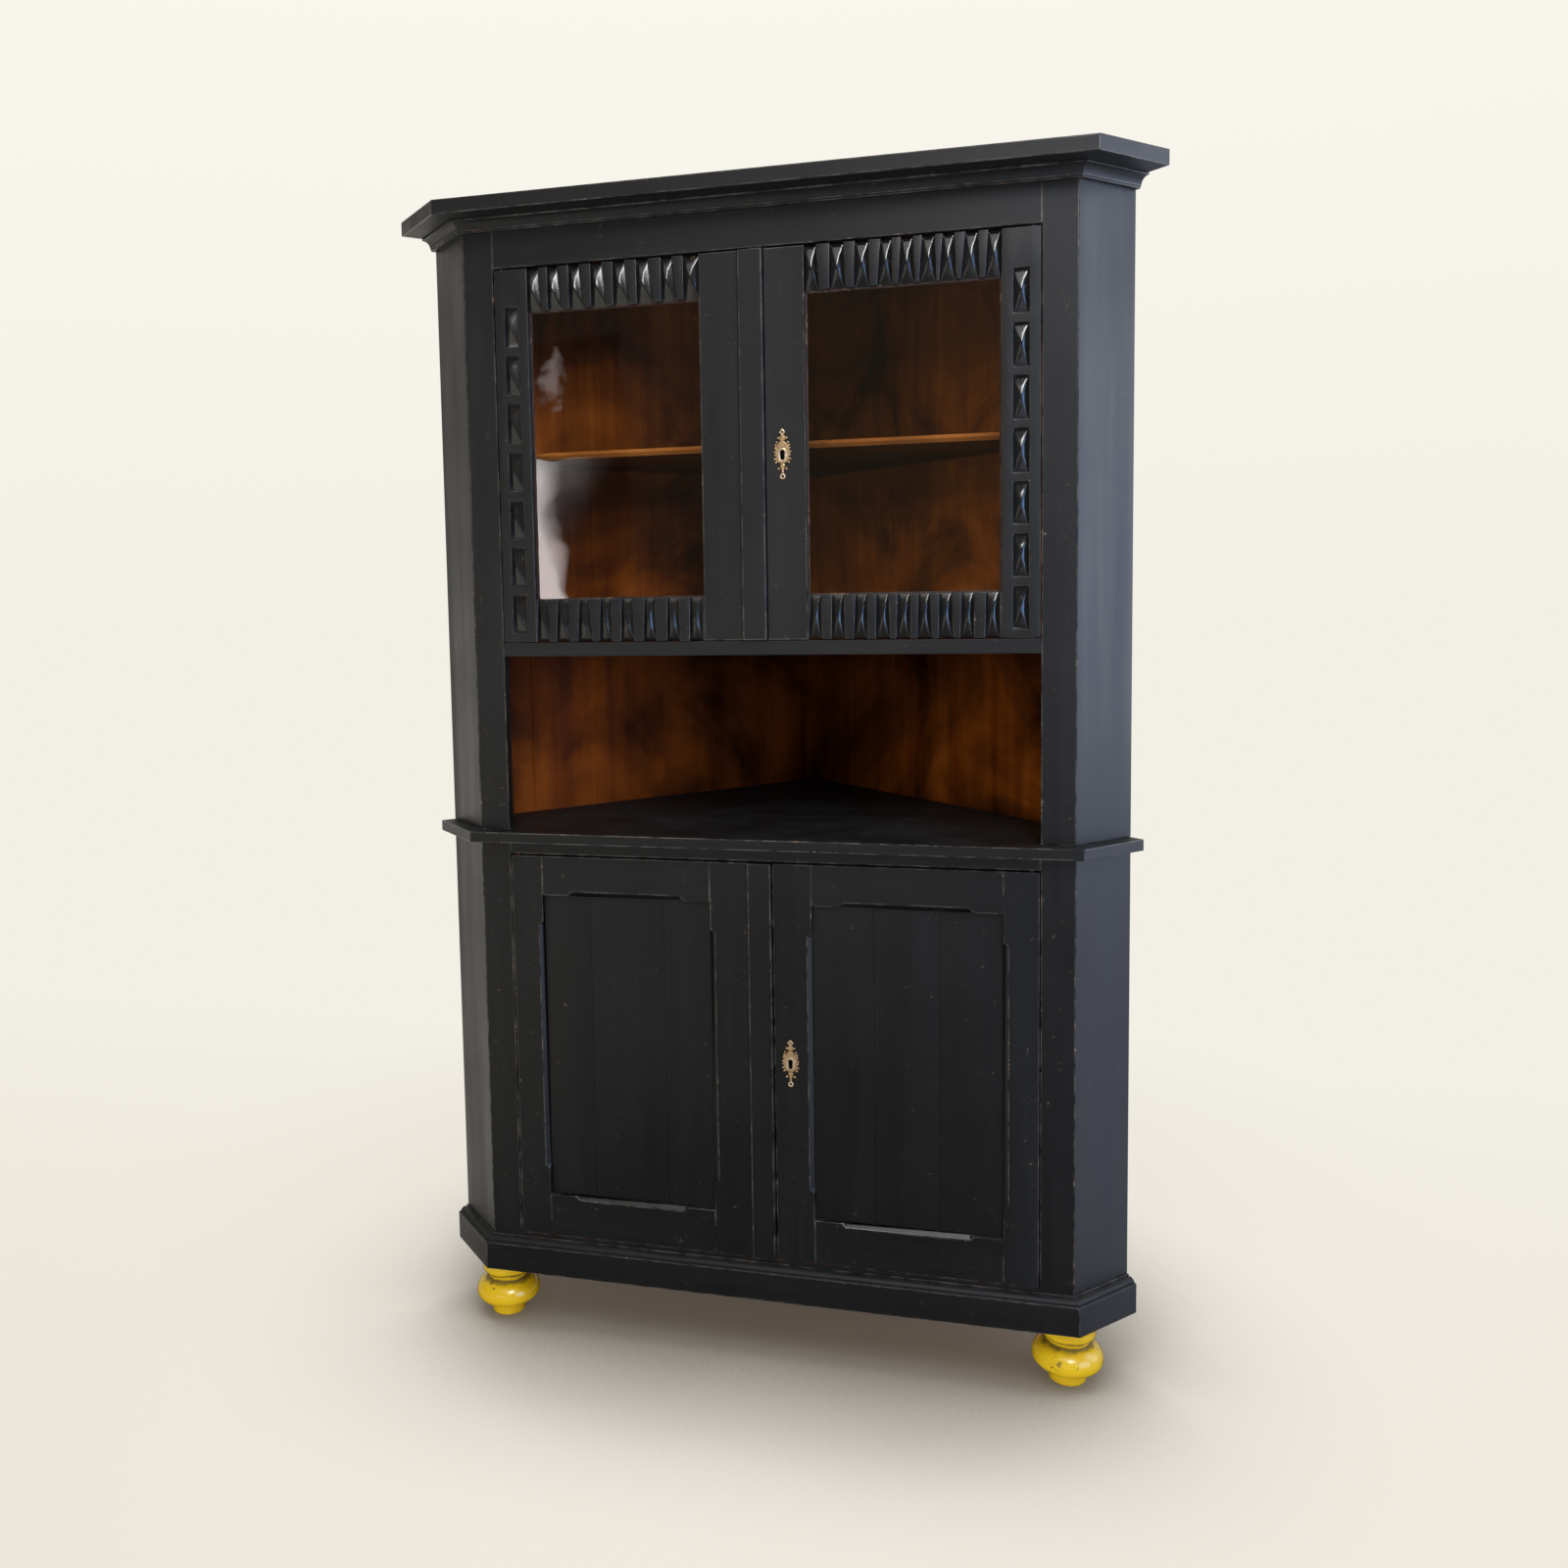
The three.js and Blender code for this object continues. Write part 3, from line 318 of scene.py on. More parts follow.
@dataclass(frozen=True)
class Arris:
    """How the long outer edges of a board are eased.

    The eased strip has the board's second finish, which is more worn.
    """

    width: float = 1.8
    segments: int = 4
    profile: float = 0.82
    shortest: float = 14.0
    steepest: float = 26.0

    def ease(self, piece: Piece) -> None:
        """Rounds the long outer edges of a piece."""
        rounded(piece, self._weight, self.width, self.segments, self.profile, miter_outer="MITER_SHARP")

    def _weight(self, edge: bmesh.types.BMEdge) -> float:
        """The weight of an edge: 1 if it is long and turns outward, else 0."""
        outer = edge.is_manifold and edge.calc_face_angle_signed(0.0) > math.radians(self.steepest)
        return 1.0 if outer and edge.calc_length() > self.shortest * MM else 0.0


def repaint(piece: Piece, direction: Vector, slot_index: int, least: float = 0.7) -> None:
    """Gives the faces that look one way another of the piece's finishes.

    Args:
        piece: the object.
        direction: the way that the faces look.
        slot_index: the number of the finish.
        least: least cosine between a face's normal and the direction.
    """
    for face in piece.data.polygons:
        if face.normal.dot(direction) > least:
            face.material_index = slot_index


def dress(piece: Piece, *materials: bpy.types.Material) -> None:
    """Gives a piece its finishes, after those it has."""
    for material in materials:
        piece.data.materials.append(material)


def deliver(piece: Piece, body: str, slot: str, *nodes: str) -> Piece:
    """Attaches a finished piece to the body it moves with and hides the solids it stands for.

    Args:
        piece: the finished object.
        body: the body it moves with.
        slot: the material slot. Not used.
        nodes: the solids it stands for.

    Returns:
        The piece.
    """
    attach(piece, body)
    if nodes:
        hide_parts(*nodes)
    LOG.info("%s: %d faces, rides on %s", piece.name, len(piece.data.polygons), body)
    return piece


# Node work


class Value:
    """What a socket of a node gives. It is reckoned with as a number is."""

    def __init__(self, sheet: "NodeSheet", socket: bpy.types.NodeSocket) -> None:
        """Keeps the socket and the sheet that it is on."""
        self.sheet, self.socket = sheet, socket

    def __add__(self, other: object) -> "Value":
        """Both together."""
        return self.sheet.maths("ADD", self, other)

    def __sub__(self, other: object) -> "Value":
        """What is left when the other is taken away."""
        return self.sheet.maths("SUBTRACT", self, other)

    def __rsub__(self, other: object) -> "Value":
        """What is left of the other."""
        return self.sheet.maths("SUBTRACT", other, self)

    def __mul__(self, other: object) -> "Value":
        """One times the other."""
        return self.sheet.maths("MULTIPLY", self, other)

    def __abs__(self) -> "Value":
        """The value without its sign."""
        return self.sheet.maths("ABSOLUTE", self)

    def most(self, other: object) -> "Value":
        """The larger of the two."""
        return self.sheet.maths("MAXIMUM", self, other)

    def spread(self, low: object, high: object, to_low: object = 0.0, to_high: object = 1.0) -> "Value":
        """Maps the range from low to high to another and keeps the value inside."""
        inputs = dict(enumerate((self, low, high, to_low, to_high)))
        return self.sheet.get("ShaderNodeMapRange", 0, inputs, clamp=True)


class NodeSheet:
    """A node tree with short ways to add and join nodes."""

    def __init__(self, tree: bpy.types.NodeTree) -> None:
        """Clears the tree."""
        self.tree = tree
        tree.nodes.clear()

    def add(self, kind: str, inputs: Optional[dict] = None, **settings: object) -> bpy.types.Node:
        """Adds a node.

        Args:
            kind: the node's type.
            inputs: what its inputs take, by their names or numbers.
            settings: its properties.

        Returns:
            The node.
        """
        node = self.tree.nodes.new(kind)
        for name, value in settings.items():
            setattr(node, name, value)
        for name, value in (inputs or {}).items():
            self.feed(node.inputs[name], value)
        return node

    def feed(self, target: bpy.types.NodeSocket, value: object) -> None:
        """Joins a value to an input, or sets the input's own value.

        Args:
            target: the input.
            value: a value, a number or a tuple.
        """
        if isinstance(value, Value):
            self.tree.links.new(value.socket, target)
        elif isinstance(value, tuple) and target.type == "RGBA":
            target.default_value = (*value, 1.0)
        else:
            target.default_value = value

    def get(self, kind: str, output: object, inputs: Optional[dict] = None, **settings: object) -> Value:
        """Adds a node and gives one of its outputs, by its name or number."""
        return Value(self, self.add(kind, inputs, **settings).outputs[output])

    def maths(self, operation: str, first: object, second: object = 0.0) -> Value:
        """Reckons with two values."""
        return self.get("ShaderNodeMath", 0, {0: first, 1: second}, operation=operation)

    def blend(self, share: object, first: object, second: object, way: str = "MIX") -> Value:
        """Mixes two colours, with a share of the second one."""
        return self.get("ShaderNodeMix", 2, {0: share, 6: first, 7: second}, data_type="RGBA",
                        blend_type=way, clamp_factor=True)

    def noise(self, vector: Value, scale: object, detail: float = 4.0, roughness: float = 0.55,
              distortion: float = 0.0) -> Value:
        """Adds a noise texture: how fine it is, its finer layers, their strength and its warp."""
        return self.get("ShaderNodeTexNoise", "Fac", {"Vector": vector, "Scale": scale, "Detail": detail,
                                                      "Roughness": roughness, "Distortion": distortion})

    def place(self) -> Value:
        """The place on the piece, in the shared frame."""
        return self.get("ShaderNodeTexCoord", "Object")

    def axis(self, vector: Value, name: str) -> Value:
        """The X, Y or Z of a vector."""
        return self.get("ShaderNodeSeparateXYZ", name, {0: vector})

    def drawn_out(self, vector: Value, grain: Grain, shift: Triple = (0.0, 0.0, 0.0)) -> Value:
        """Draws a pattern out along the grain, from a start that makes boards differ."""
        stretch, turn = grain.value
        return self.get("ShaderNodeMapping", "Vector", {
            "Vector": vector, "Location": shift, "Rotation": (0.0, 0.0, turn), "Scale": stretch},
            vector_type="TEXTURE")

    def bump(self, height: Value, strength: float, distance: float) -> Value:
        """Turns a height into a normal. A height of one stands up by the distance, in metres."""
        return self.get("ShaderNodeBump", "Normal", {
            "Strength": strength, "Distance": distance, "Height": height})

    def use(self, effect: "Effect", vector: Value, **sizes: object) -> list[Value]:
        """Places a shared effect in this tree.

        Args:
            effect: which effect.
            vector: the coordinates.
            sizes: what its other inputs take, by name.

        Returns:
            Its outputs.
        """
        node = self.add("ShaderNodeGroup")
        node.node_tree = effect.tree()
        for name, value in {"Vector": vector, **sizes}.items():
            self.feed(node.inputs[name], value)
        return [Value(self, socket) for socket in node.outputs]


class Effect(Enum):
    """The effects that several finishes share, each a node group that is built once.

    A value is the group's name, its number inputs with their usual values, and its outputs.
    """

    GRAIN = ("wood_grain", {"Fineness": 60.0}, ("Tone", "Height"))
    CLOUDS = ("soft_clouds", {"Size": 3.0, "Edge": 0.2}, ("Mask",))
    CHIPS = ("paint_chips", {"Size": 90.0, "Cover": 0.1}, ("Mask",))
    DUST = ("settled_dust", {"Size": 9.0}, ("Mask",))
    CREVICE = ("crevice_dirt", {"Size": 300.0, "Reach": 0.06}, ("Mask",))
    SCRATCHES = ("fine_scratches", {"Size": 30.0}, ("Mask",))

    def tree(self) -> bpy.types.NodeTree:
        """The effect's node group, built the first time it is asked for.

        Returns:
            The node group.
        """
        name, inputs, outputs = self.value
        if name not in bpy.data.node_groups:
            sheet = NodeSheet(bpy.data.node_groups.new(name, "ShaderNodeTree"))
            new_socket = sheet.tree.interface.new_socket
            new_socket(name="Vector", in_out="INPUT", socket_type="NodeSocketVector")
            for label, usual in inputs.items():
                given = new_socket(name=label, in_out="INPUT", socket_type="NodeSocketFloat")
                given.default_value = usual
            for label in outputs:
                new_socket(name=label, in_out="OUTPUT", socket_type="NodeSocketFloat")
            start = sheet.add("NodeGroupInput")
            values = [Value(sheet, start.outputs[label]) for label in ("Vector", *inputs)]
            results = getattr(self, f"_{self.name.lower()}")(sheet, *values)
            sheet.add("NodeGroupOutput", dict(zip(outputs, results)))
        return bpy.data.node_groups[name]

    @staticmethod
    def _grain(sheet: NodeSheet, vector: Value, fineness: Value) -> tuple[Value, ...]:
        """Long fibres, from coordinates that are drawn out along them.

        Args:
            sheet: the group's sheet.
            vector: the coordinates.
            fineness: how fine the fibres are.

        Returns:
            A tone and a height.
        """
        broad = sheet.noise(vector, fineness * 0.3, 3.0, 0.5, 0.6)
        fine = sheet.noise(vector, fineness, 5.0, 0.65, 0.2)
        pores = sheet.noise(vector, fineness * 4.0, 2.0, 0.5)
        tone, height = broad * 0.55 + fine * 0.45, fine * 0.7 + pores * 0.3
        return tone.spread(0.33, 0.67), height.spread(0.3, 0.7)

    @staticmethod
    def _clouds(sheet: NodeSheet, vector: Value, size: Value, edge: Value) -> tuple[Value, ...]:
        """Large soft patches, as from brushing and handling."""
        return (sheet.noise(vector, size, 4.0, 0.55, 0.8).spread(0.5 - edge, edge + 0.5),)

    @staticmethod
    def _chips(sheet: NodeSheet, vector: Value, size: Value, cover: Value) -> tuple[Value, ...]:
        """Small chips with hard edges.

        Args:
            sheet: the group's sheet.
            vector: the coordinates.
            size: how fine they are.
            cover: the share of the surface that is chipped.

        Returns:
            The mask.
        """
        where = sheet.noise(vector, size * 0.13, 2.0)
        value = sheet.noise(vector, size, 5.0, 0.68) + (where - 0.5) * 0.7
        low = 0.72 - cover * 0.5
        return (value.spread(low, low + 0.025),)

    @staticmethod
    def _dust(sheet: NodeSheet, vector: Value, size: Value) -> tuple[Value, ...]:
        """Dust on what faces up, broken up by a soft pattern."""
        up = sheet.axis(sheet.get("ShaderNodeNewGeometry", "Normal"), "Z")
        return (up.spread(0.35, 1.0) * sheet.noise(vector, size, 5.0, 0.6).spread(0.35, 0.75),)

    @staticmethod
    def _crevice(sheet: NodeSheet, vector: Value, size: Value, reach: Value) -> tuple[Value, ...]:
        """Dirt that stays in hollows, from how far the surface bends in.

        Args:
            sheet: the group's sheet.
            vector: the coordinates.
            size: how fine its uneven edge is.
            reach: how shallow a hollow may be.

        Returns:
            The mask.
        """
        bend = sheet.get("ShaderNodeNewGeometry", "Pointiness")
        bend += (sheet.noise(vector, size, 3.0) - 0.5) * 0.05
        return (bend.spread(0.5 - reach, 0.5, 1.0, 0.0),)

    @staticmethod
    def _scratches(sheet: NodeSheet, vector: Value, size: Value) -> tuple[Value, ...]:
        """A few thin crossing scratches."""
        line = abs(sheet.noise(vector, size, 1.0, 0.5, 2.5) - 0.5)
        return (line.spread(0.0, 0.004, 1.0, 0.0) * sheet.noise(vector, size * 0.25).spread(0.6, 0.68),)


# Finishes


@dataclass(frozen=True)
class Wear:
    """How one part of a board has worn: its chips, its rubbed lines and its gloss."""

    ending: str
    chips: float
    rubbed: float
    shine: Pair
    mirror: float
    relief: float = 0.3


FLAT = Wear("", -0.09, 0.0, (0.42, 0.54), 0.28)
EDGE = Wear("_worn", 0.12, 0.60, (0.24, 0.36), 0.45)
CARVED = Wear("_carved", -0.05, 0.03, (0.12, 0.18), 0.55, 0.08)
CHAMFER = Wear("_chamfer", 0.0, 0.15, (0.20, 0.30), 0.50, 0.15)

MADE: dict[str, bpy.types.Material] = {}


@dataclass(frozen=True)
class Finish:
    """A procedural finish, built once for each way of the grain and each kind of wear."""

    name: str
    grain: Optional[Grain] = None
    wear: Wear = FLAT

    def material(self, grain: Optional[Grain] = None, wear: Wear = FLAT) -> bpy.types.Material:
        """Builds or finds the finish.

        Args:
            grain: which way the grain runs, where the finish shows it.
            wear: how the part has worn.

        Returns:
            The material.
        """
        name = self.name + (f"_{grain.name.lower()}" if grain else "") + wear.ending
        if name not in MADE:
            MADE[name] = bpy.data.materials.new(name)
            MADE[name].use_nodes = True
            sheet = NodeSheet(MADE[name].node_tree)
            shader = replace(self, grain=grain, wear=wear).shader(sheet)
            sheet.add("ShaderNodeOutputMaterial", {"Surface": shader})
        return MADE[name]

    def shader(self, sheet: NodeSheet) -> Value:
        """The shader of the surface, from what the finish gives its inputs."""
        return sheet.get("ShaderNodeBsdfPrincipled", 0, self.inputs(sheet))

    def inputs(self, sheet: NodeSheet) -> dict[str, object]:
        """What the shader's inputs take, by name. Each finish has its own."""
        raise NotImplementedError


@dataclass(frozen=True)
class BlackPaint(Finish):
    """Brushed black paint over pine, rubbed and chipped along the edges, darker low down."""

    name: str = "black_paint"
    tone: Colour = (0.0112, 0.0114, 0.0120)
    faded: Colour = (0.0200, 0.0198, 0.0200)
    rubbed: Colour = (0.125, 0.120, 0.113)
    dust: Colour = (0.085, 0.078, 0.068)
    wood: Colour = (0.30, 0.19, 0.105)
    primer: Colour = (0.26, 0.25, 0.235)
    low_share: float = 0.60
    change: Pair = (0.80, 1.25)
    polish: float = 0.05
    mirror: float = 1.0

    def inputs(self, sheet: NodeSheet) -> dict[str, object]:
        """Lays the paint's nodes.

        Args:
            sheet: the material's sheet.

        Returns:
            What the shader's inputs take.
        """
        place, wear = sheet.place(), self.wear
        tone, height = sheet.use(Effect.GRAIN, sheet.drawn_out(place, self.grain), Fineness=75.0)
        clouds, = sheet.use(Effect.CLOUDS, place, Size=3.2, Edge=0.22)
        dust, = sheet.use(Effect.DUST, place)
        chips, = sheet.use(Effect.CHIPS, place, Size=420.0, Cover=wear.chips)
        colour = sheet.blend(tone * clouds.spread(0.0, 1.0, 0.35, 1.0), self.tone, self.faded)
        low_down = sheet.axis(place, "Z").spread(*self.change, self.low_share, 1.0)
        colour = sheet.blend(1.0, colour, low_down, "MULTIPLY")
        colour = sheet.blend(dust * 0.2, colour, self.dust)
        lines = sheet.noise(place, 38.0, 5.0, 0.65).spread(0.42, 0.62, 0.0, wear.rubbed)
        colour = sheet.blend(lines, colour, self.rubbed)
        under = sheet.blend(sheet.noise(place, 40.0).spread(0.4, 0.6), self.wood, self.primer)
        streaks = sheet.noise(sheet.drawn_out(place, self.grain, (0.7, 0.1, 0.9)), 11.0, 3.0)
        gloss = clouds.spread(0.0, 1.0, *wear.shine) - streaks.spread(0.38, 0.62, 0.0, self.polish)
        brush = sheet.noise(sheet.drawn_out(place, self.grain, (0.3, 0.1, 0.2)), 22.0, 3.0)
        return {"Base Color": sheet.blend(chips * 0.8, colour, under),
                "Specular IOR Level": wear.mirror * self.mirror,
                "Roughness": gloss + tone * 0.06 + dust * 0.25 + chips * 0.3,
                "Normal": sheet.bump(height * 0.45 + brush * 0.8 - chips * 0.5, wear.relief, 0.0005)}


@dataclass(frozen=True)
class StainedPine(Finish):
    """Old pine with a patchy brown stain, orange where it is thin.

    Its colour carries painted shade and light: darker toward the rear, up in the niche and high in
    the glazed case, and lighter low in the case. The spans are places over which the tone changes.
    """

    name: str = "stained_pine"
    dark: Colour = (0.036, 0.0090, 0.0018)
    middle: Colour = (0.260, 0.056, 0.0060)
    light: Colour = (0.660, 0.180, 0.020)
    gloss: float = 0.46
    patchiness: float = 0.80
    # Painted shade and light: the tone's factors toward the rear, in the case, high in it, in its middle
    # and in the niche, and how much lighter it is painted low in the case.
    rear_share: float = 0.22
    case_share: float = 0.75
    high_share: float = 0.42
    middle_share: float = 0.5
    niche_share: float = 0.28
    glow: float = 1.9
    to_rear: Pair = (-0.20, 0.32)
    doors: Pair = (-0.272, -0.268)
    niche: Pair = (0.98, 1.24)
    case_floor: Pair = (1.26, 1.27)
    under_shelf: Pair = (1.36, 1.55)
    shelf: Pair = (1.612, 1.618)
    over_shelf: Pair = (1.62, 1.84)

    def inputs(self, sheet: NodeSheet) -> dict[str, object]:
        """Lays the stain's nodes.

        Args:
            sheet: the material's sheet.

        Returns:
            What the shader's inputs take.
        """
        place = sheet.place()
        along = sheet.drawn_out(place, self.grain)
        tone, height = sheet.use(Effect.GRAIN, along, Fineness=42.0)
        clouds, = sheet.use(Effect.CLOUDS, place, Size=3.6, Edge=0.14)
        smoke, = sheet.use(Effect.CLOUDS, sheet.drawn_out(place, self.grain, (0.4, 0.2, 0.7)), Size=9.0,
                           Edge=0.2)
        patches = clouds * smoke.spread(0.0, 1.0, self.patchiness, 1.0)
        colour = sheet.blend(1.0 - patches, sheet.blend(tone, self.middle, self.light), self.dark)
        from_knot = sheet.get("ShaderNodeTexVoronoi", "Distance", {"Vector": along, "Scale": 7.0})
        colour = sheet.blend(from_knot.spread(0.05, 0.11, 1.0, 0.0) * 0.85, colour, self.dark)
        # The stain's colour is multiplied by its painted shade and light.
        return {"Base Color": sheet.blend(1.0, colour, self._shade(sheet, place), "MULTIPLY"),
                "Specular IOR Level": 0.04,
                "Roughness": tone * 0.18 + self.gloss,
                "Normal": sheet.bump(height, 0.25, 0.0003)}

    def _shade(self, sheet: NodeSheet, place: Value) -> Value:
        """The painted shade and light on the stain at a place.

        Args:
            sheet: the material's sheet.
            place: the place.

        Returns:
            The factor for its colour.
        """
        deep, up = sheet.axis(place, "Y"), sheet.axis(place, "Z")
        in_case = up.spread(*self.case_floor)
        rear = deep.spread(*self.to_rear, 1.0, self.rear_share).most(
            up.spread(*self.case_floor, 0.0, self.case_share))
        high = up.spread(*self.under_shelf, self.glow, self.middle_share).most(
            up.spread(*self.shelf) * up.spread(*self.over_shelf, self.glow, self.high_share))
        niche = up.spread(*self.niche, 1.0, self.niche_share).most(in_case)
        behind_doors = in_case * deep.spread(*self.doors)
        return rear * (behind_doors * (high - 1.0) + 1.0) * niche


@dataclass(frozen=True)
class RawPine(Finish):
    """Unfinished pine, greyed by age, on the sides that stand against the walls of the room."""

    name: str = "raw_pine"
    pale: Colour = (0.36, 0.235, 0.125)
    deep: Colour = (0.19, 0.115, 0.06)
    grey: Colour = (0.13, 0.095, 0.065)

    def inputs(self, sheet: NodeSheet) -> dict[str, object]:
        """Lays the finish's nodes.

        Args:
            sheet: the material's sheet.

        Returns:
            What the shader's inputs take.
        """
        place = sheet.place()
        tone, height = sheet.use(Effect.GRAIN, sheet.drawn_out(place, Grain.UP), Fineness=38.0)
        clouds, = sheet.use(Effect.CLOUDS, place, Size=2.6, Edge=0.25)
        colour = sheet.blend(tone, self.deep, self.pale)
        return {"Base Color": sheet.blend(clouds * 0.35, colour, self.grey),
                "Roughness": tone.spread(0.0, 1.0, 0.7, 0.85),
                "Normal": sheet.bump(height, 0.5, 0.0006)}


@dataclass(frozen=True)
class YellowPaint(Finish):
    """Glossy yellow paint on the feet, with painted shade and dirt in its grooves, which are at these
    heights.
    """

    name: str = "glossy_yellow_paint"
    tone: Colour = (0.88, 0.62, 0.018)
    deep: Colour = (0.80, 0.50, 0.010)
    dirt: Colour = (0.085, 0.062, 0.018)
    grooves: tuple[float, ...] = (0.0685, 0.0808, 0.0190)
    groove: Pair = (0.0012, 0.0055)

    def inputs(self, sheet: NodeSheet) -> dict[str, object]:
        """Lays the paint's nodes.

        Args:
            sheet: the material's sheet.

        Returns:
            What the shader's inputs take.
        """
        place = sheet.place()
        level = sheet.axis(place, "Z") + (sheet.noise(place, 45.0) - 0.5) * 0.012
        # Painted shade and dirt darken the turned grooves, at the listed heights; chips show the same dark
        # colour.
        dirt: object = 0.0
        for height in self.grooves:
            dirt = abs(level - height).spread(*self.groove, 0.85, 0.0).most(dirt)
        clouds, = sheet.use(Effect.CLOUDS, place, Size=22.0, Edge=0.25)
        chips, = sheet.use(Effect.CHIPS, place, Size=120.0, Cover=0.11)
        colour = sheet.blend(dirt, sheet.blend(clouds, self.tone, self.deep), self.dirt)
        return {"Base Color": sheet.blend(chips * 0.85, colour, self.dirt),
                "Roughness": clouds.spread(0.0, 1.0, 0.16, 0.26) + dirt * 0.3,
                "Normal": sheet.bump(sheet.noise(place, 55.0, 3.0) - chips * 0.4, 0.35, 0.0012)}


@dataclass(frozen=True)
class CastBrass(Finish):
    """Pale cast brass, rubbed bright in front of its rim and dark in its hollows."""

    name: str = "cast_brass"
    tone: Colour = (0.60, 0.37, 0.155)
    rubbed: Colour = (0.96, 0.74, 0.52)
    patina: Colour = (0.060, 0.036, 0.010)
    rim: float = -0.32515
    body: float = -0.32465
    foot: float = -0.32385

    def inputs(self, sheet: NodeSheet) -> dict[str, object]:
        """Lays the metal's nodes.

        Args:
            sheet: the material's sheet.

        Returns:
            What the shader's inputs take.
        """
        place = sheet.place()
        crevice, = sheet.use(Effect.CREVICE, place, Size=500.0, Reach=0.05)
        clouds, = sheet.use(Effect.CLOUDS, place, Size=190.0, Edge=0.16)
        depth = sheet.axis(place, "Y") + (sheet.noise(place, 420.0) - 0.5) * 0.0007
        hollow = depth.spread(self.body, self.foot).most(crevice)
        colour = sheet.blend(depth.spread(self.rim, self.body, 1.0, 0.0), self.tone, self.rubbed)
        colour = sheet.blend(clouds * 0.45, colour, self.patina)
        return {"Base Color": sheet.blend(hollow * 0.9, colour, self.patina),
                "Metallic": 0.6,
                "Roughness": clouds.spread(0.0, 1.0, 0.30, 0.42) + crevice * 0.25,
                "Normal": sheet.bump(sheet.noise(place, 900.0), 0.25, 0.0002)}


@dataclass(frozen=True)
class DarkIron(Finish):
    """Dark rolled iron with a little rust, for the locks and their bolts."""

    name: str = "dark_iron"
    tone: Colour = (0.085, 0.082, 0.08)
    rust: Colour = (0.12, 0.045, 0.02)
    bare: Colour = (0.45, 0.44, 0.42)

    def inputs(self, sheet: NodeSheet) -> dict[str, object]:
        """Lays the metal's nodes.

        Args:
            sheet: the material's sheet.

        Returns:
            What the shader's inputs take.
        """
        place = sheet.place()
        clouds, = sheet.use(Effect.CLOUDS, place, Size=45.0, Edge=0.12)
        scratches, = sheet.use(Effect.SCRATCHES, place, Size=120.0)
        rusty = clouds * 0.6
        colour = sheet.blend(rusty, self.tone, self.rust)
        return {"Base Color": sheet.blend(scratches * 0.7, colour, self.bare),
                "Metallic": 0.9 - rusty,
                "Roughness": clouds.spread(0.0, 1.0, 0.38, 0.68),
                "Normal": sheet.bump(sheet.noise(place, 260.0, 5.0), 0.3, 0.0003)}


@dataclass(frozen=True)
class OldGlass(Finish):
    """Thin drawn window glass, slightly wavy. It lets light through without a shadow."""

    name: str = "old_window_glass"
    tint: Colour = (0.955, 0.965, 0.93)

    def inputs(self, sheet: NodeSheet) -> dict[str, object]:
        """Lays the glass's nodes.

        Args:
            sheet: the material's sheet.

        Returns:
            What the shader's inputs take.
        """
        place = sheet.place()
        return {"Base Color": self.tint, "Transmission Weight": 1.0, "IOR": 1.5,
                "Roughness": sheet.noise(place, 13.0, 5.0, 0.7, 0.9).spread(0.66, 0.76, 0.0, 0.22),
                "Normal": sheet.bump(sheet.noise(place, 7.0, 1.0, 0.4), 0.2, 0.003)}

    def shader(self, sheet: NodeSheet) -> Value:
        """Mixes the glass with what its shadow sees, which is only the tint."""
        clear = sheet.get("ShaderNodeBsdfTransparent", 0, {"Color": self.tint})
        return sheet.get("ShaderNodeMixShader", 0, {
            0: sheet.get("ShaderNodeLightPath", "Is Shadow Ray"), 1: super().shader(sheet), 2: clear})


@dataclass(frozen=True)
class RedPutty(Finish):
    """Dried putty with the reddish stain of the wood."""

    name: str = "red_putty"
    tone: Colour = (0.075, 0.024, 0.012)
    dark: Colour = (0.025, 0.012, 0.008)
    pale: Colour = (0.22, 0.12, 0.07)

    def inputs(self, sheet: NodeSheet) -> dict[str, object]:
        """Lays the putty's nodes.

        Args:
            sheet: the material's sheet.

        Returns:
            What the shader's inputs take.
        """
        place = sheet.place()
        chips, = sheet.use(Effect.CHIPS, place, Size=130.0, Cover=0.16)
        clouds, = sheet.use(Effect.CLOUDS, place, Size=40.0, Edge=0.2)
        return {"Base Color": sheet.blend(chips, sheet.blend(clouds, self.tone, self.dark), self.pale),
                "Roughness": clouds.spread(0.0, 1.0, 0.55, 0.75),
                "Normal": sheet.bump(sheet.noise(place, 300.0, 4.0), 0.5, 0.0004)}


PAINT = BlackPaint()
SIDE_PAINT = BlackPaint("side_paint", low_share=0.9, polish=0.15, mirror=1.8)
STAIN = StainedPine()
# The upper shelf's stain keeps none of the painted shade and light high in the case.
SHELF_STAIN = StainedPine("shelf_stain", dark=(0.18, 0.05, 0.009), middle=(0.42, 0.125, 0.020),
                          light=(0.66, 0.235, 0.045), gloss=0.4, high_share=1.0, glow=1.0)
# The stain of the shelves' undersides, darker as painted shade under them.
SHADED_UNDERSIDE_STAIN = StainedPine("under_stain", middle=(0.070, 0.018, 0.003), light=(0.16, 0.045, 0.007))


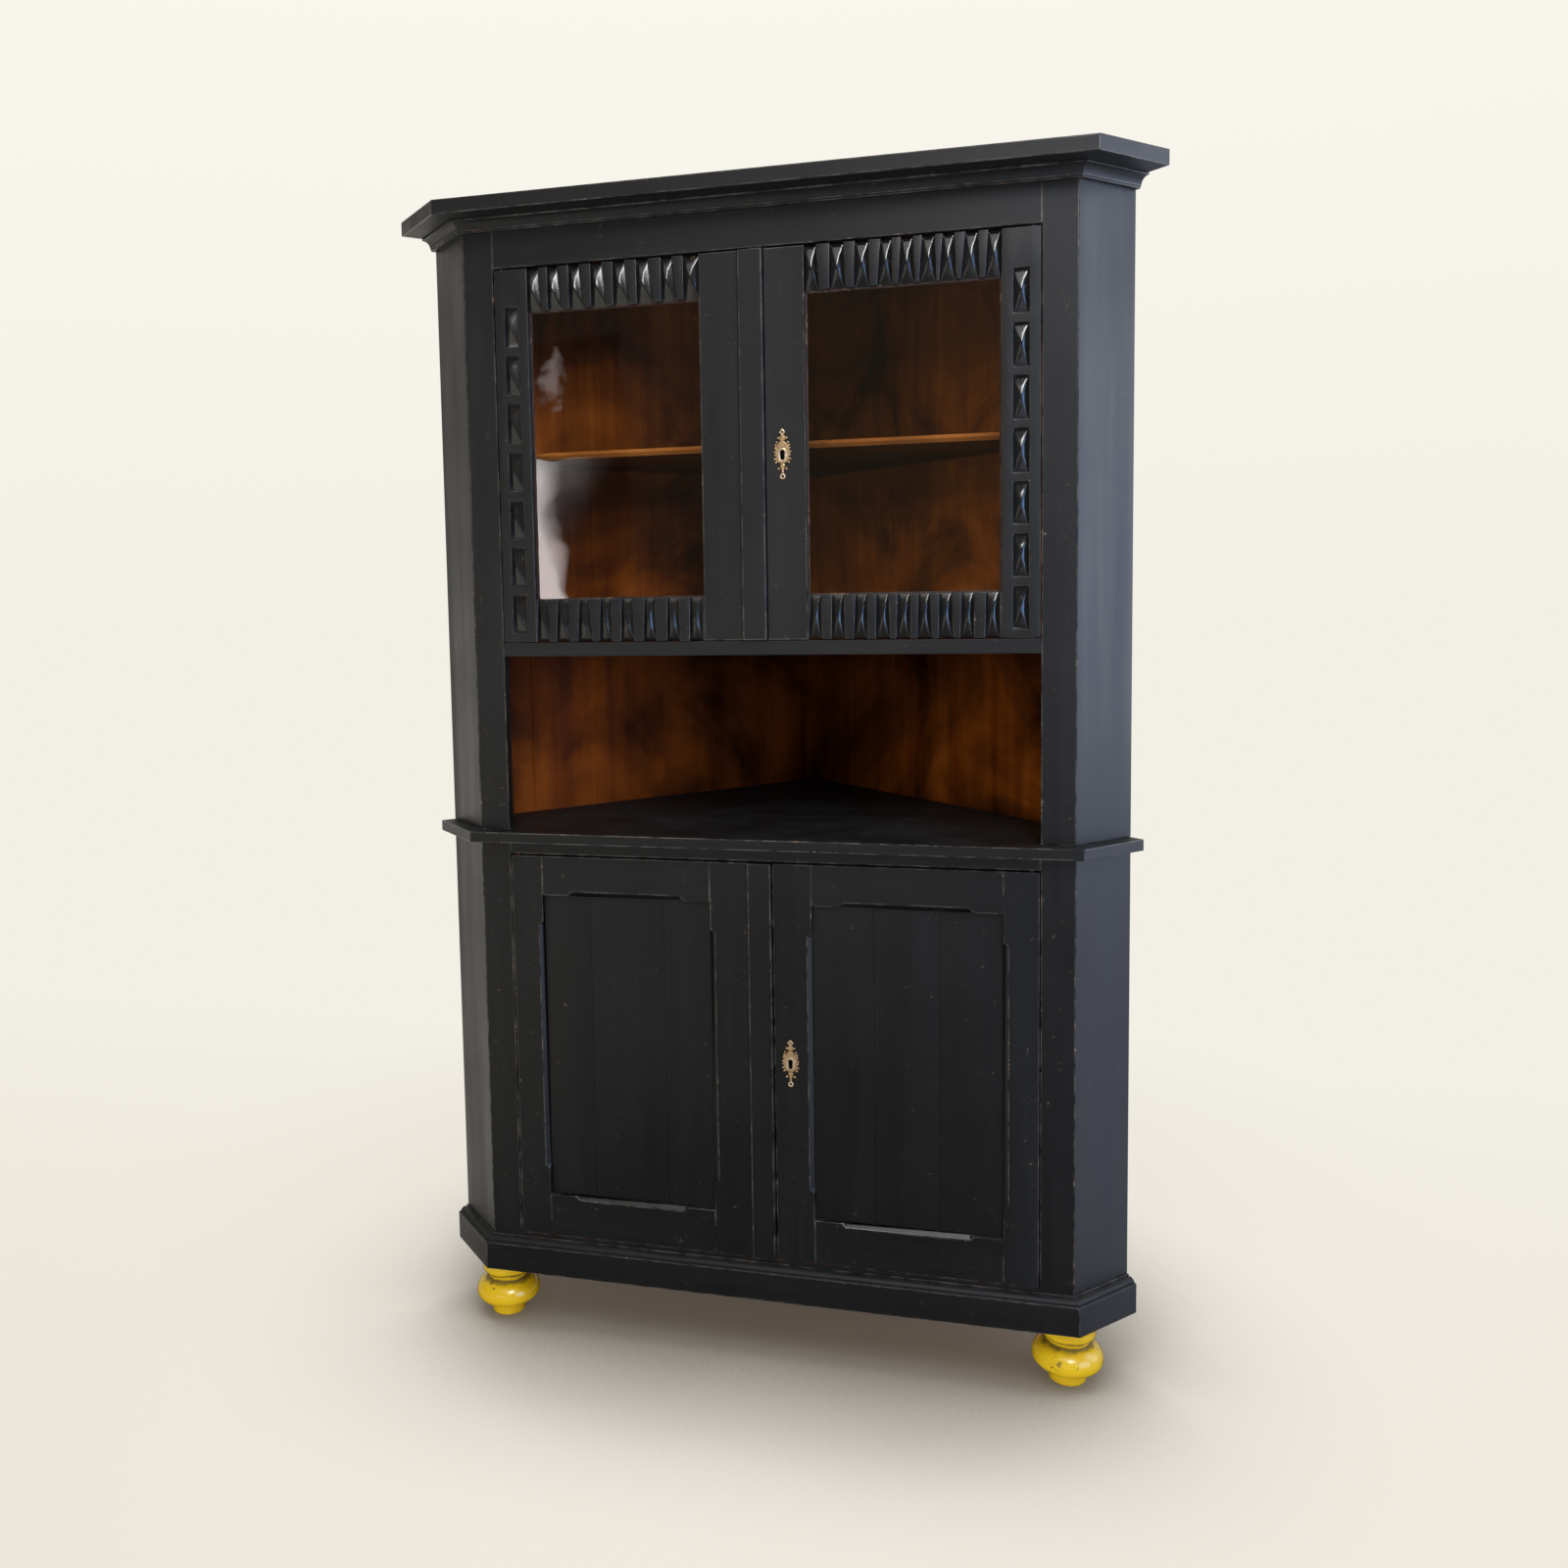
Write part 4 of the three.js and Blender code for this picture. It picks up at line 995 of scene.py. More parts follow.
def board(node: str, body: str, grain: Grain, stained_side: Optional[Vector] = None,
          arris: Arris = Arris(), chamfered: bool = False) -> Piece:
    """Makes the painted board that stands for a solid, with eased and worn edges.

    Its canted sides have the smoother paint of the returns.

    Args:
        node: the solid's name.
        body: the body it moves with.
        grain: which way its grain runs.
        stained_side: the way that its stained faces look, if it has some.
        arris: how its edges are eased.
        chamfered: whether it has chamfers that show polished.

    Returns:
        The board.
    """
    piece = copied(node, f"painted_{node}")
    dress(piece, PAINT.material(grain), PAINT.material(grain, EDGE), STAIN.material(grain),
          SIDE_PAINT.material(grain))
    arris.ease(piece)
    for outward in (LEFT_OUTWARD, RIGHT_OUTWARD):
        repaint(piece, outward, CANTED_OR_CARVED, 0.995)
    if chamfered:
        dress(piece, PAINT.material(grain, CHAMFER))
        repaint(piece, FRONT_UP, CHAMFERED, 0.96)
    if stained_side is not None:
        repaint(piece, stained_side, STAINED)
    smooth(piece)
    return deliver(piece, body, "black_paint", node)


# The case


@dataclass
class Carcase:
    """Stiles, returns, rails, boards, shelves and back walls."""

    body: str = "case"
    board_arris: Arris = Arris(width=2.2)
    floor_arris: Arris = Arris(width=1.8)
    inner_arris: Arris = Arris(width=1.4, segments=2, profile=0.5)

    def build(self) -> None:
        """Makes every board of the case."""
        for side, outward in ((Side.LEFT, LEFT_OUTWARD), (Side.RIGHT, RIGHT_OUTWARD)):
            for stage in ("upper", "lower"):
                board(f"{stage}_stile_{side.word}", self.body, Grain.UP, TO_REAR)
                board(f"{stage}_return_{side.word}", self.body, Grain.UP, -outward)
        for rail in ("frieze_rail", "lower_top_rail"):
            board(rail, self.body, Grain.ACROSS, TO_REAR)
        for top in ("top_board", "waist_board"):
            board(top, self.body, Grain.ACROSS, arris=self.board_arris)
        floor_finishes = (STAIN.material(Grain.ACROSS), PAINT.material(Grain.ACROSS, EDGE),
                          PAINT.material(Grain.ACROSS))
        for floor in ("case_floor", "floor_board"):
            self._stained(floor, floor_finishes, self.floor_arris, -TO_REAR)
        for shelf, stain in (("upper_shelf", SHELF_STAIN), ("lower_shelf", STAIN)):
            # Each shelf's underside takes the darker stain, painted shade.
            finishes = [kind.material(Grain.ACROSS) for kind in (stain, stain, SHADED_UNDERSIDE_STAIN)]
            self._stained(shelf, finishes, self.inner_arris, Vector((0.0, 0.0, -1.0)))
        for side in Side:
            self._wall(side)

    def _stained(self, node: str, finishes: Sequence[bpy.types.Material], arris: Arris,
                 other_side: Vector) -> None:
        """Makes a stained board whose third finish is on one side.

        Args:
            node: the solid it stands for.
            finishes: its finishes.
            arris: how its edges are eased.
            other_side: the way that the side with the third finish looks.
        """
        piece = copied(node, f"stained_{node}")
        dress(piece, *finishes)
        arris.ease(piece)
        repaint(piece, other_side, 2)
        smooth(piece)
        deliver(piece, self.body, "stained_pine", node)

    def _wall(self, side: Side) -> None:
        """Makes one back wall: stained inside, raw on the side of the room's wall.

        Args:
            side: left or right.
        """
        node = f"back_wall_{side.word}"
        piece = copied(node, f"boarded_{node}")
        dress(piece, STAIN.material(Grain.UP), RawPine().material())
        repaint(piece, Vector((side.value, 1.0, 0.0)).normalized(), 1, 0.5)
        smooth(piece, 12.0)
        deliver(piece, self.body, "stained_pine", node)


@dataclass
class Mouldings:
    """The cove cornice and the plinth, each in three mitred lengths."""

    body: str = "case"
    arris: Arris = Arris(width=1.6, shortest=20.0)

    def build(self) -> None:
        """Makes the six lengths."""
        grains = {"front": Grain.ACROSS, "left": Grain.LEFT_RETURN, "right": Grain.RIGHT_RETURN}
        for run in ("cornice", "plinth"):
            for place, grain in grains.items():
                board(f"{run}_{place}", self.body, grain, arris=self.arris)


@dataclass
class TurnedFeet:
    """Three turned bun feet. The profile is (radius, height) from the floor to the tenon."""

    body: str = "case"
    sides: int = 72
    centres: dict[str, Pair] = field(default_factory=lambda: {
        "foot_left": (-515.09, -280.48), "foot_right": (515.09, -280.48), "foot_rear": (0.0, 299.8)})
    profile: tuple[Pair, ...] = (
        (29.0, 0.0), (30.8, 0.5), (31.5, 1.8), (31.3, 4.5), (30.5, 8.0), (29.9, 11.5), (30.1, 14.5),
        (30.8, 17.2), (31.8, 19.0), (33.8, 19.7), (38.0, 20.7), (42.6, 22.3), (47.2, 24.5), (51.4, 27.2),
        (55.0, 30.2), (57.7, 33.4), (59.3, 36.6), (59.9, 40.0), (59.6, 44.0), (58.5, 48.4), (56.5, 52.8),
        (53.6, 57.0), (49.8, 60.8), (45.4, 63.9), (41.2, 65.9), (38.7, 66.8), (37.2, 67.5), (37.0, 68.6),
        (37.5, 70.2), (38.2, 72.4), (39.0, 75.2), (40.0, 78.0), (41.2, 79.9), (42.4, 80.7), (43.6, 81.6),
        (45.6, 82.8), (47.1, 84.8), (47.8, 87.2), (48.0, 90.0), (48.0, 94.0), (47.2, 95.2), (47.2, 96.4),
        (48.0, 97.6), (48.0, 106.7), (12.0, 106.7), (12.0, 164.0))

    def build(self) -> None:
        """Makes the three feet."""
        pattern = self._turned()
        for node, (across, deep) in self.centres.items():
            piece = linked(f"turned_{node}", pattern.data.copy())
            piece.data.transform(Matrix.Translation(Vector((across, deep, 0.0)) * MM))
            dress(piece, YellowPaint().material())
            smooth(piece, 34.0)
            deliver(piece, self.body, "yellow_paint", node)
        bpy.data.objects.remove(pattern, do_unlink=True)

    def _turned(self) -> Piece:
        """Turns one foot round the origin.

        Returns:
            The foot.
        """
        radius, height = self.profile[0]
        foot = added("circle", "turned_foot", vertices=self.sides, radius=radius * MM, fill_type="NGON",
                     location=(0.0, 0.0, height * MM))
        with Bench(foot):
            for next_radius, next_height in self.profile[1:]:
                bpy.ops.mesh.extrude_region_move(
                    TRANSFORM_OT_translate={"value": (0.0, 0.0, (next_height - height) * MM)})
                share = next_radius / radius
                bpy.ops.transform.resize(value=(share, share, 1.0),
                                         center_override=(0.0, 0.0, next_height * MM))
                radius, height = next_radius, next_height
            bpy.ops.mesh.select_all(action="SELECT")
            bpy.ops.mesh.normals_make_consistent(inside=False)
        return foot


# Carving


@dataclass(frozen=True)
class Carving:
    """How the diamonds are carved into stiles and rails."""

    front: float = -322.4845
    depth: float = 10.0
    sink: float = 0.6
    draft: float = 1.1
    ridge: float = 2.3
    arris_share: float = 0.36
    swell: float = 0.7
    lean: float = -0.9
    off_centre: float = 0.0
    astray_across: Pair = (-0.8, 0.8)
    astray_deep: Pair = (-0.2, 0.5)
    astray_up: Pair = (-2.2, 2.2)
    facing: float = -0.3
    skin: float = 0.3
    sharpest: float = 17.0
    floor_slack: float = 0.4
    apex_slack: float = 0.9
    ridge_slack: float = 1.2

    def raise_diamonds(self, bench: Bench, rng: random.Random) -> None:
        """Raises a four-sided diamond on every recess floor and rounds its ridges a little.

        Args:
            bench: the piece, with its recess floors at the carving's depth.
            rng: the hand's unevenness.
        """
        floor = (self.front + self.depth) * MM
        near = self.floor_slack * MM
        bench.choose("FACE", lambda face: abs(face.calc_center_median().y - floor) < near
                     and face.normal.y < -0.99)
        bpy.ops.mesh.poke(offset=(self.depth - self.sink) * MM, use_relative_offset=False)
        top = floor - (self.depth - self.sink) * MM
        self._scatter(bench, top, rng)
        bench.choose("EDGE", lambda edge: self._is_ridge(edge, top, floor))
        bpy.ops.mesh.subdivide(number_cuts=1)
        middle = (top + floor) / 2
        slack = self.ridge_slack * MM
        bench.choose("VERT", lambda vert: abs(vert.co.y - middle) < slack)
        bpy.ops.transform.translate(value=(0.0, -self.swell * MM, 0.0))
        swollen = middle - self.swell * MM
        bench.choose("VERT", lambda vert: abs(vert.co.y - swollen) < slack and self._above(vert))
        bpy.ops.transform.translate(value=(self.lean * MM, 0.0, 0.0))

    def _scatter(self, bench: Bench, top: float, rng: random.Random) -> None:
        """Shifts each apex a little.

        Args:
            bench: the piece.
            top: the depth of the apexes.
            rng: the hand's unevenness.
        """
        mesh = bmesh.from_edit_mesh(bench.piece.data)
        places = [vert.co.copy() for vert in mesh.verts if abs(vert.co.y - top) < 0.0002]
        for place in places:
            bench.choose("VERT", lambda vert: (vert.co - place).length < 0.0003)
            bpy.ops.transform.translate(value=metres(self.off_centre + rng.uniform(*self.astray_across),
                                                     rng.uniform(*self.astray_deep),
                                                     rng.uniform(*self.astray_up)))

    def _is_ridge(self, edge: bmesh.types.BMEdge, top: float, floor: float) -> bool:
        """Whether an edge runs from an apex to a corner of its floor."""
        front, rear = sorted(vert.co.y for vert in edge.verts)
        return abs(front - top) < self.apex_slack * MM and abs(rear - floor) < self.floor_slack * MM

    @staticmethod
    def _above(vert: bmesh.types.BMVert) -> bool:
        """Whether a vertex in the middle of a ridge lies above its apex."""
        apex = min((other.other_vert(vert).co for other in vert.link_edges), key=lambda co: co.y)
        return vert.co.z > apex.z

    def _weight(self, edge: bmesh.types.BMEdge) -> float:
        """How much of an edge is rounded: most for the ridges between two facets.

        Args:
            edge: the edge.

        Returns:
            Its weight, from 0 to 1.
        """
        turn = edge.calc_face_angle_signed(0.0) if edge.is_manifold else 0.0
        if abs(turn) <= math.radians(self.sharpest):
            return 0.0
        face_of_board = (self.front + self.skin) * MM
        carved = all(face.normal.y < self.facing and face.calc_center_median().y > face_of_board
                     for face in edge.link_faces)
        return 1.0 if carved and turn > 0.0 else self.arris_share

    def round_off(self, piece: Piece) -> None:
        """Rounds the ridges and arrises of a carved piece.

        Args:
            piece: the carved piece. Its second finish is for the arrises, its fourth for the carving.
        """
        rounded(piece, self._weight, self.ridge, 3, 0.5)
        for face in piece.data.polygons:
            deep = face.center.y / MM - self.front
            if self.floor_slack < deep < self.depth + 0.5 and face.normal.y < self.facing:
                face.material_index = CANTED_OR_CARVED
        smooth(piece, 38.0)


@dataclass(kw_only=True)
class CarvedPart:
    """What the carved rails and stiles share: the block, its finishes and the glass's rabbet."""

    node: str
    body: str
    carving: Carving
    low: float = 1281.5
    high: float = 1937.5
    back: float = -300.4845
    rabbet: float = 8.0
    rabbet_front: float = 12.0
    overrun: float = 5.0
    grain: ClassVar[Grain]

    def build(self, rng: random.Random) -> Piece:
        """Makes the piece.

        Args:
            rng: the hand's unevenness.

        Returns:
            The piece.
        """
        left, right = self._ends()
        piece = block(f"carved_{self.node}", (left, self.carving.front, self.low),
                      (right, self.back, self.high))
        dress(piece, PAINT.material(self.grain), PAINT.material(self.grain, EDGE),
              STAIN.material(self.grain), PAINT.material(self.grain, CARVED))
        with Bench(piece) as bench:
            self._sink(bench, rng)
            self.carving.raise_diamonds(bench, rng)
        (left, right), (low, high) = self._rabbet_spans()
        cut_away(piece, block("rabbet", (left, self.carving.front + self.rabbet_front, low),
                              (right, self.back + self.overrun, high)))
        self.carving.round_off(piece)
        repaint(piece, TO_REAR, STAINED)
        self._complete(piece)
        return deliver(piece, self.body, "black_paint", self.node)

    def _ends(self) -> Sequence[float]:
        """The left and right end of the piece."""
        raise NotImplementedError

    def _sink(self, bench: Bench, rng: random.Random) -> None:
        """Sinks the recesses to the carving's depth."""
        raise NotImplementedError

    def _rabbet_spans(self) -> tuple[Sequence[float], Sequence[float]]:
        """Where the rabbet for the glass runs: across and up."""
        raise NotImplementedError

    def _complete(self, piece: Piece) -> None:
        """Adds what a kind has besides."""


@dataclass(kw_only=True)
class CarvedRail(CarvedPart):
    """A rail with a row of notches, each with a diamond, open at the top and the foot.

    A notch is (left at the top, right at the top, left at the foot, right at the foot), from the
    rail's left end.
    """

    left: float
    right: float
    notches: tuple[Notch, ...]
    rabbet_above: bool
    least: float = 0.5
    grain: ClassVar[Grain] = Grain.ACROSS

    def _ends(self) -> Sequence[float]:
        """The left and right end of the rail."""
        return self.left, self.right

    def _sink(self, bench: Bench, rng: random.Random) -> None:
        """Slices the notches' sides, each with its draft, and sets their floors back.

        Args:
            bench: the rail.
            rng: not used.
        """
        rise = (self.high - self.low) * MM
        for left_top, right_top, left_foot, right_foot in self.notches:
            for top, foot, inward in ((left_top, left_foot, 1), (right_top, right_foot, -1)):
                if self.least <= top <= self.right - self.left - self.least:
                    for shift in (0.0, inward * self.carving.draft):
                        bench.slice(metres(self.left + foot + shift, self.carving.front, self.low),
                                    (rise, 0.0, -(top - foot) * MM))
        bench.choose("VERT", self._in_notch)
        bpy.ops.transform.translate(value=(0.0, self.carving.depth * MM, 0.0))

    def _edge_at(self, top: float, foot: float, height: float) -> float:
        """The place of a slanting line at a height, in metres from the rail's left end."""
        share = (height - self.low * MM) / ((self.high - self.low) * MM)
        return (foot + (top - foot) * share) * MM

    def _in_notch(self, vert: bmesh.types.BMVert) -> bool:
        """Whether a vertex lies on the face of the rail inside a notch.

        Args:
            vert: the vertex.

        Returns:
            Whether it does.
        """
        if abs(vert.co.y - self.carving.front * MM) > 0.00005:
            return False
        along = vert.co.x - self.left * MM
        slack, draft, length = 0.0002, self.carving.draft * MM, (self.right - self.left) * MM
        for left_top, right_top, left_foot, right_foot in self.notches:
            start = self._edge_at(left_top, left_foot, vert.co.z)
            end = self._edge_at(right_top, right_foot, vert.co.z)
            start = start + draft if left_top > self.least else -slack
            end = end - draft if right_top < length / MM - self.least else length + slack
            if start - slack < along < end + slack:
                return True
        return False

    def _rabbet_spans(self) -> tuple[Sequence[float], Sequence[float]]:
        """Where the rabbet for the glass runs: across and up."""
        up = ((self.high - self.rabbet, self.high + self.overrun) if self.rabbet_above
              else (self.low - self.overrun, self.low + self.rabbet))
        return (self.left - self.overrun, self.right + self.overrun), up


@dataclass(kw_only=True)
class CarvedStile(CarvedPart):
    """The outer stile of a glass door, with a column of sunk diamonds and its two pins."""

    side: Side
    outer: float = 466.0
    inner: float = 405.0
    opening: Pair = (1356.5, 1863.5)
    recess_width: float = 26.0
    recess_height: float = 70.0
    bar: float = 14.5
    foot: float = 15.0
    count: int = 7
    draft: float = 0.9
    astray: Pair = (-1.2, 1.2)
    pin_radius: float = 3.5
    pin_root: float = 4.0
    pin_place: Pair = (454.0, -316.4845)
    grain: ClassVar[Grain] = Grain.UP

    def _ends(self) -> Sequence[float]:
        """The left and right edge of the stile."""
        return self.side.span(self.outer, self.inner)

    def _sink(self, bench: Bench, rng: random.Random) -> None:
        """Sinks the recesses, each a little off its even place.

        Args:
            bench: the stile.
            rng: the hand's unevenness.
        """
        pitch = self.recess_height + self.bar
        starts = [self.low + self.foot + index * pitch for index in range(self.count)]
        spans = [(start + rng.uniform(*self.astray),
                  start + self.recess_height + rng.uniform(*self.astray)) for start in starts]
        centre = sum(self._ends()) / 2
        for edge in (-1, 1):
            bench.slice(((centre + edge * self.recess_width / 2) * MM, 0.0, 0.0), (1.0, 0.0, 0.0))
        for span in spans:
            for height in span:
                bench.slice((0.0, 0.0, height * MM), (0.0, 0.0, 1.0))
        bench.choose("FACE", lambda face: self._in_recess(face, centre, spans))
        bpy.ops.mesh.inset(thickness=self.draft * MM, depth=-self.carving.depth * MM,
                           use_individual=True)

    @staticmethod
    def _in_recess(face: bmesh.types.BMFace, centre: float, spans: list[Pair]) -> bool:
        """Whether a face lies where a recess is to be sunk.

        Args:
            face: the face.
            centre: the middle of the stile.
            spans: the heights of the recesses.

        Returns:
            Whether it does.
        """
        middle = face.calc_center_median() / MM
        inside = abs(middle.x - centre) < 2.0 and any(low < middle.z < high for low, high in spans)
        return inside and face.normal.y < -0.99

    def _rabbet_spans(self) -> tuple[Sequence[float], Sequence[float]]:
        """Where the rabbet for the glass runs: across and up."""
        across = self.side.span(self.inner - self.overrun, self.inner + self.rabbet)
        return across, (self.opening[0] - self.rabbet, self.opening[1] + self.rabbet)

    def _complete(self, piece: Piece) -> None:
        """Sets the two pins that the leaf turns on.

        Args:
            piece: the stile.
        """
        low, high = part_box(self.node)
        across, deep = self.pin_place
        root = self.pin_root * MM
        for start, end in ((low.z, self.low * MM + root), (self.high * MM - root, high.z)):
            with Bench(piece):
                bpy.ops.mesh.select_all(action="DESELECT")
                bpy.ops.mesh.primitive_cylinder_add(
                    vertices=20, radius=self.pin_radius * MM, depth=end - start,
                    location=(self.side.value * across * MM, deep * MM, (start + end) / 2))


# Brass and iron


@dataclass
class Escutcheon:
    """A pierced cast plate round a keyhole. Places are from the plate's middle: across, up.

    An oval is (across, up, half its width, half its height), and so is a bead. Beads beside the
    middle stand on both sides.
    """

    node: str
    body: str
    eye_up: float = 2.8
    eye_radius: float = 4.3
    drop: float = 12.6
    foot_width: float = 7.0
    nail_up: float = 36.8
    nail_radius: float = 1.7
    ring_up: float = -37.4
    ring_place: float = -1.0
    ring_radii: Pair = (3.5, 1.6)
    rim_radii: Pair = (6.2, 1.35)
    rim_stretch: float = 1.62
    oval_depths: Pair = (0.15, 3.7)
    oval_rim: Pair = (1.2, 0.35)
    lozenge_depths: Pair = (0.1, 3.8)
    lozenge_rim: Pair = (0.8, 0.5)
    bead_place: float = -0.7
    bead_rise: float = 1.5
    grain: float = 0.32
    face: float = 0.0
    ovals: tuple[Notch, ...] = ((0.0, 3.0, 12.0, 18.6), (0.0, -6.0, 11.6, 9.5))
    lozenge: Notch = (0.0, 36.6, 5.9, 6.2)
    beads: tuple[Notch, ...] = (
        (0.0, 26.4, 5.6, 6.4), (6.7, 27.0, 2.3, 2.3), (9.6, 19.6, 2.1, 2.1), (11.2, 14.8, 2.1, 2.2),
        (12.0, 10.2, 1.9, 1.9), (13.4, 3.6, 1.9, 2.1), (12.6, -1.4, 1.9, 1.9), (13.3, -8.2, 2.0, 2.2),
        (11.0, -13.6, 2.2, 2.2), (0.0, -19.5, 5.2, 4.6), (6.8, -24.4, 2.3, 2.3), (0.0, -24.6, 3.4, 3.0),
        (0.0, -29.6, 2.3, 3.8), (0.0, 31.4, 2.5, 3.4))

    def build(self) -> Piece:
        """Makes the plate: its parts are melted into one casting, then the holes are cut.

        Returns:
            The plate.
        """
        low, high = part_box(self.node)
        middle = (low + high) / 2
        self.face = high.y / MM
        parts = [self._plate(48, oval, self.oval_depths, self.oval_rim) for oval in self.ovals]
        for across, up, wide, tall in self.beads:
            for sign in (-1, 1) if across else (1,):
                parts.append(self._add("uv_sphere", sign * across, self.bead_place, up, segments=24,
                                       ring_count=14, radius=1.0, scale=metres(wide, self.bead_rise, tall)))
        centre = self.eye_up - self.drop / 2 + self.eye_radius / 2
        rim = self._ring(-self.rim_radii[1], centre, self.rim_radii, (48, 12))
        with Bench(rim):
            bpy.ops.transform.resize(value=(1.0, 1.0, self.rim_stretch),
                                     center_override=(0.0, 0.0, centre * MM))
        parts += [rim, self._plate(4, self.lozenge, self.lozenge_depths, self.lozenge_rim),
                  self._ring(self.ring_place, self.ring_up, self.ring_radii, (32, 10))]
        piece = joined(f"cast_{self.node}", parts)
        piece.data.transform(Matrix.Translation((middle.x, 0.0, middle.z)))
        work(piece, "REMESH", mode="VOXEL", voxel_size=self.grain * MM, use_smooth_shade=True)
        work(piece, "SMOOTH", factor=0.5, iterations=3)
        for cutter in self._cutters(middle):
            cut_away(piece, cutter)
        piece.data.materials.clear()
        dress(piece, CastBrass().material())
        smooth(piece, 50.0)
        return deliver(piece, self.body, "brass", self.node)

    def _add(self, kind: str, across: float, deep: float, up: float, **settings: object) -> Piece:
        """Adds a primitive at a place that is so deep behind the plate's face."""
        return added(kind, "part", location=metres(across, self.face + deep, up), **settings)

    def _plate(self, sides: int, outline: Notch, depths: Pair, rim: Pair) -> Piece:
        """Adds a flat oval or lozenge with a stepped rim.

        Args:
            sides: how many sides it has.
            outline: its place and half sizes.
            depths: how deep its middle lies, and how thick it is.
            rim: the rim's width and height.

        Returns:
            The part.
        """
        across, up, wide, tall = outline
        piece = self._add("cylinder", across, depths[0], up, vertices=sides, radius=1.0, depth=1.0,
                          rotation=LYING, scale=metres(wide, tall, depths[1]))
        with Bench(piece) as bench:
            bench.choose("FACE", lambda face: face.normal.y < -0.9)
            bpy.ops.mesh.inset(thickness=rim[0] * MM, depth=rim[1] * MM)
        return piece

    def _ring(self, deep: float, up: float, radii: Pair, counts: tuple[int, int]) -> Piece:
        """Adds a ring that lies on the plate: its radius and its rod's, and their segments."""
        return self._add("torus", 0.0, deep, up, major_radius=radii[0] * MM, minor_radius=radii[1] * MM,
                         major_segments=counts[0], minor_segments=counts[1], rotation=LYING)

    def _cutters(self, middle: Vector) -> list[Piece]:
        """Makes the cutters for the flat back, the keyhole and the nail hole.

        Args:
            middle: the plate's middle.

        Returns:
            The cutters.
        """
        across, up = middle.x / MM, middle.z / MM
        half, face = self.foot_width / 2, self.face
        back = block("back", (across - 30.0, face, up - 60.0), (across + 30.0, face + 10.0, up + 60.0))
        slot = block("slot", (across - half, face - 12.0, up + self.eye_up - self.drop),
                     (across + half, face + 5.0, up + self.eye_up))
        holes = (self.eye_up, self.eye_radius), (self.nail_up, self.nail_radius)
        eye, nail = (added("cylinder", "drill", vertices=32, radius=radius * MM, depth=20.0 * MM,
                           rotation=LYING, location=(middle.x, face * MM, middle.z + height * MM))
                     for height, radius in holes)
        return [back, eye, slot, nail]


@dataclass
class RimLock:
    """The lock behind an escutcheon: its case with four screws, and its bolt."""

    stage: str
    screw_radius: float = 3.0
    screw_inset: float = 6.0
    screw_rise: float = 0.4
    screw_flatness: float = 0.35
    screw_slot: tuple[Triple, Triple] = ((-4.0, 0.45, -0.4), (4.0, 4.0, 0.4))
    case_arris: Arris = Arris(width=0.8, segments=2, profile=0.5, shortest=8.0)
    bolt_arris: Arris = Arris(width=0.7, segments=2, profile=0.5, shortest=4.0)

    def build(self) -> None:
        """Makes the case and the bolt."""
        door = f"{self.stage}_right_door"
        for node, body, arris in ((f"{door}_lock_case", door, self.case_arris),
                                  (f"{door}_lock_bolt", f"{self.stage}_lock_bolt", self.bolt_arris)):
            piece = copied(node, f"iron_{node}")
            dress(piece, DarkIron().material(), DarkIron().material())
            arris.ease(piece)
            if body == door:
                piece = joined(piece.name, [piece, *self._screws(node)])
            smooth(piece, 35.0)
            deliver(piece, body, "iron", node)

    def _screws(self, node: str) -> list[Piece]:
        """Makes one slotted screw head at each corner of the lock's case.

        Args:
            node: the case's solid.

        Returns:
            The four heads.
        """
        low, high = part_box(node)
        inset = self.screw_inset * MM
        heads = []
        for across in (low.x + inset, high.x - inset):
            for up in (low.z + inset, high.z - inset):
                place = Vector((across, high.y + self.screw_rise * MM, up))
                head = added("uv_sphere", "screw", segments=20, ring_count=10, location=place,
                             radius=self.screw_radius * MM, scale=(1.0, self.screw_flatness, 1.0))
                cut_away(head, block("slot", *(place / MM + Vector(corner) for corner in self.screw_slot)))
                heads.append(head)
        return heads


# Doors


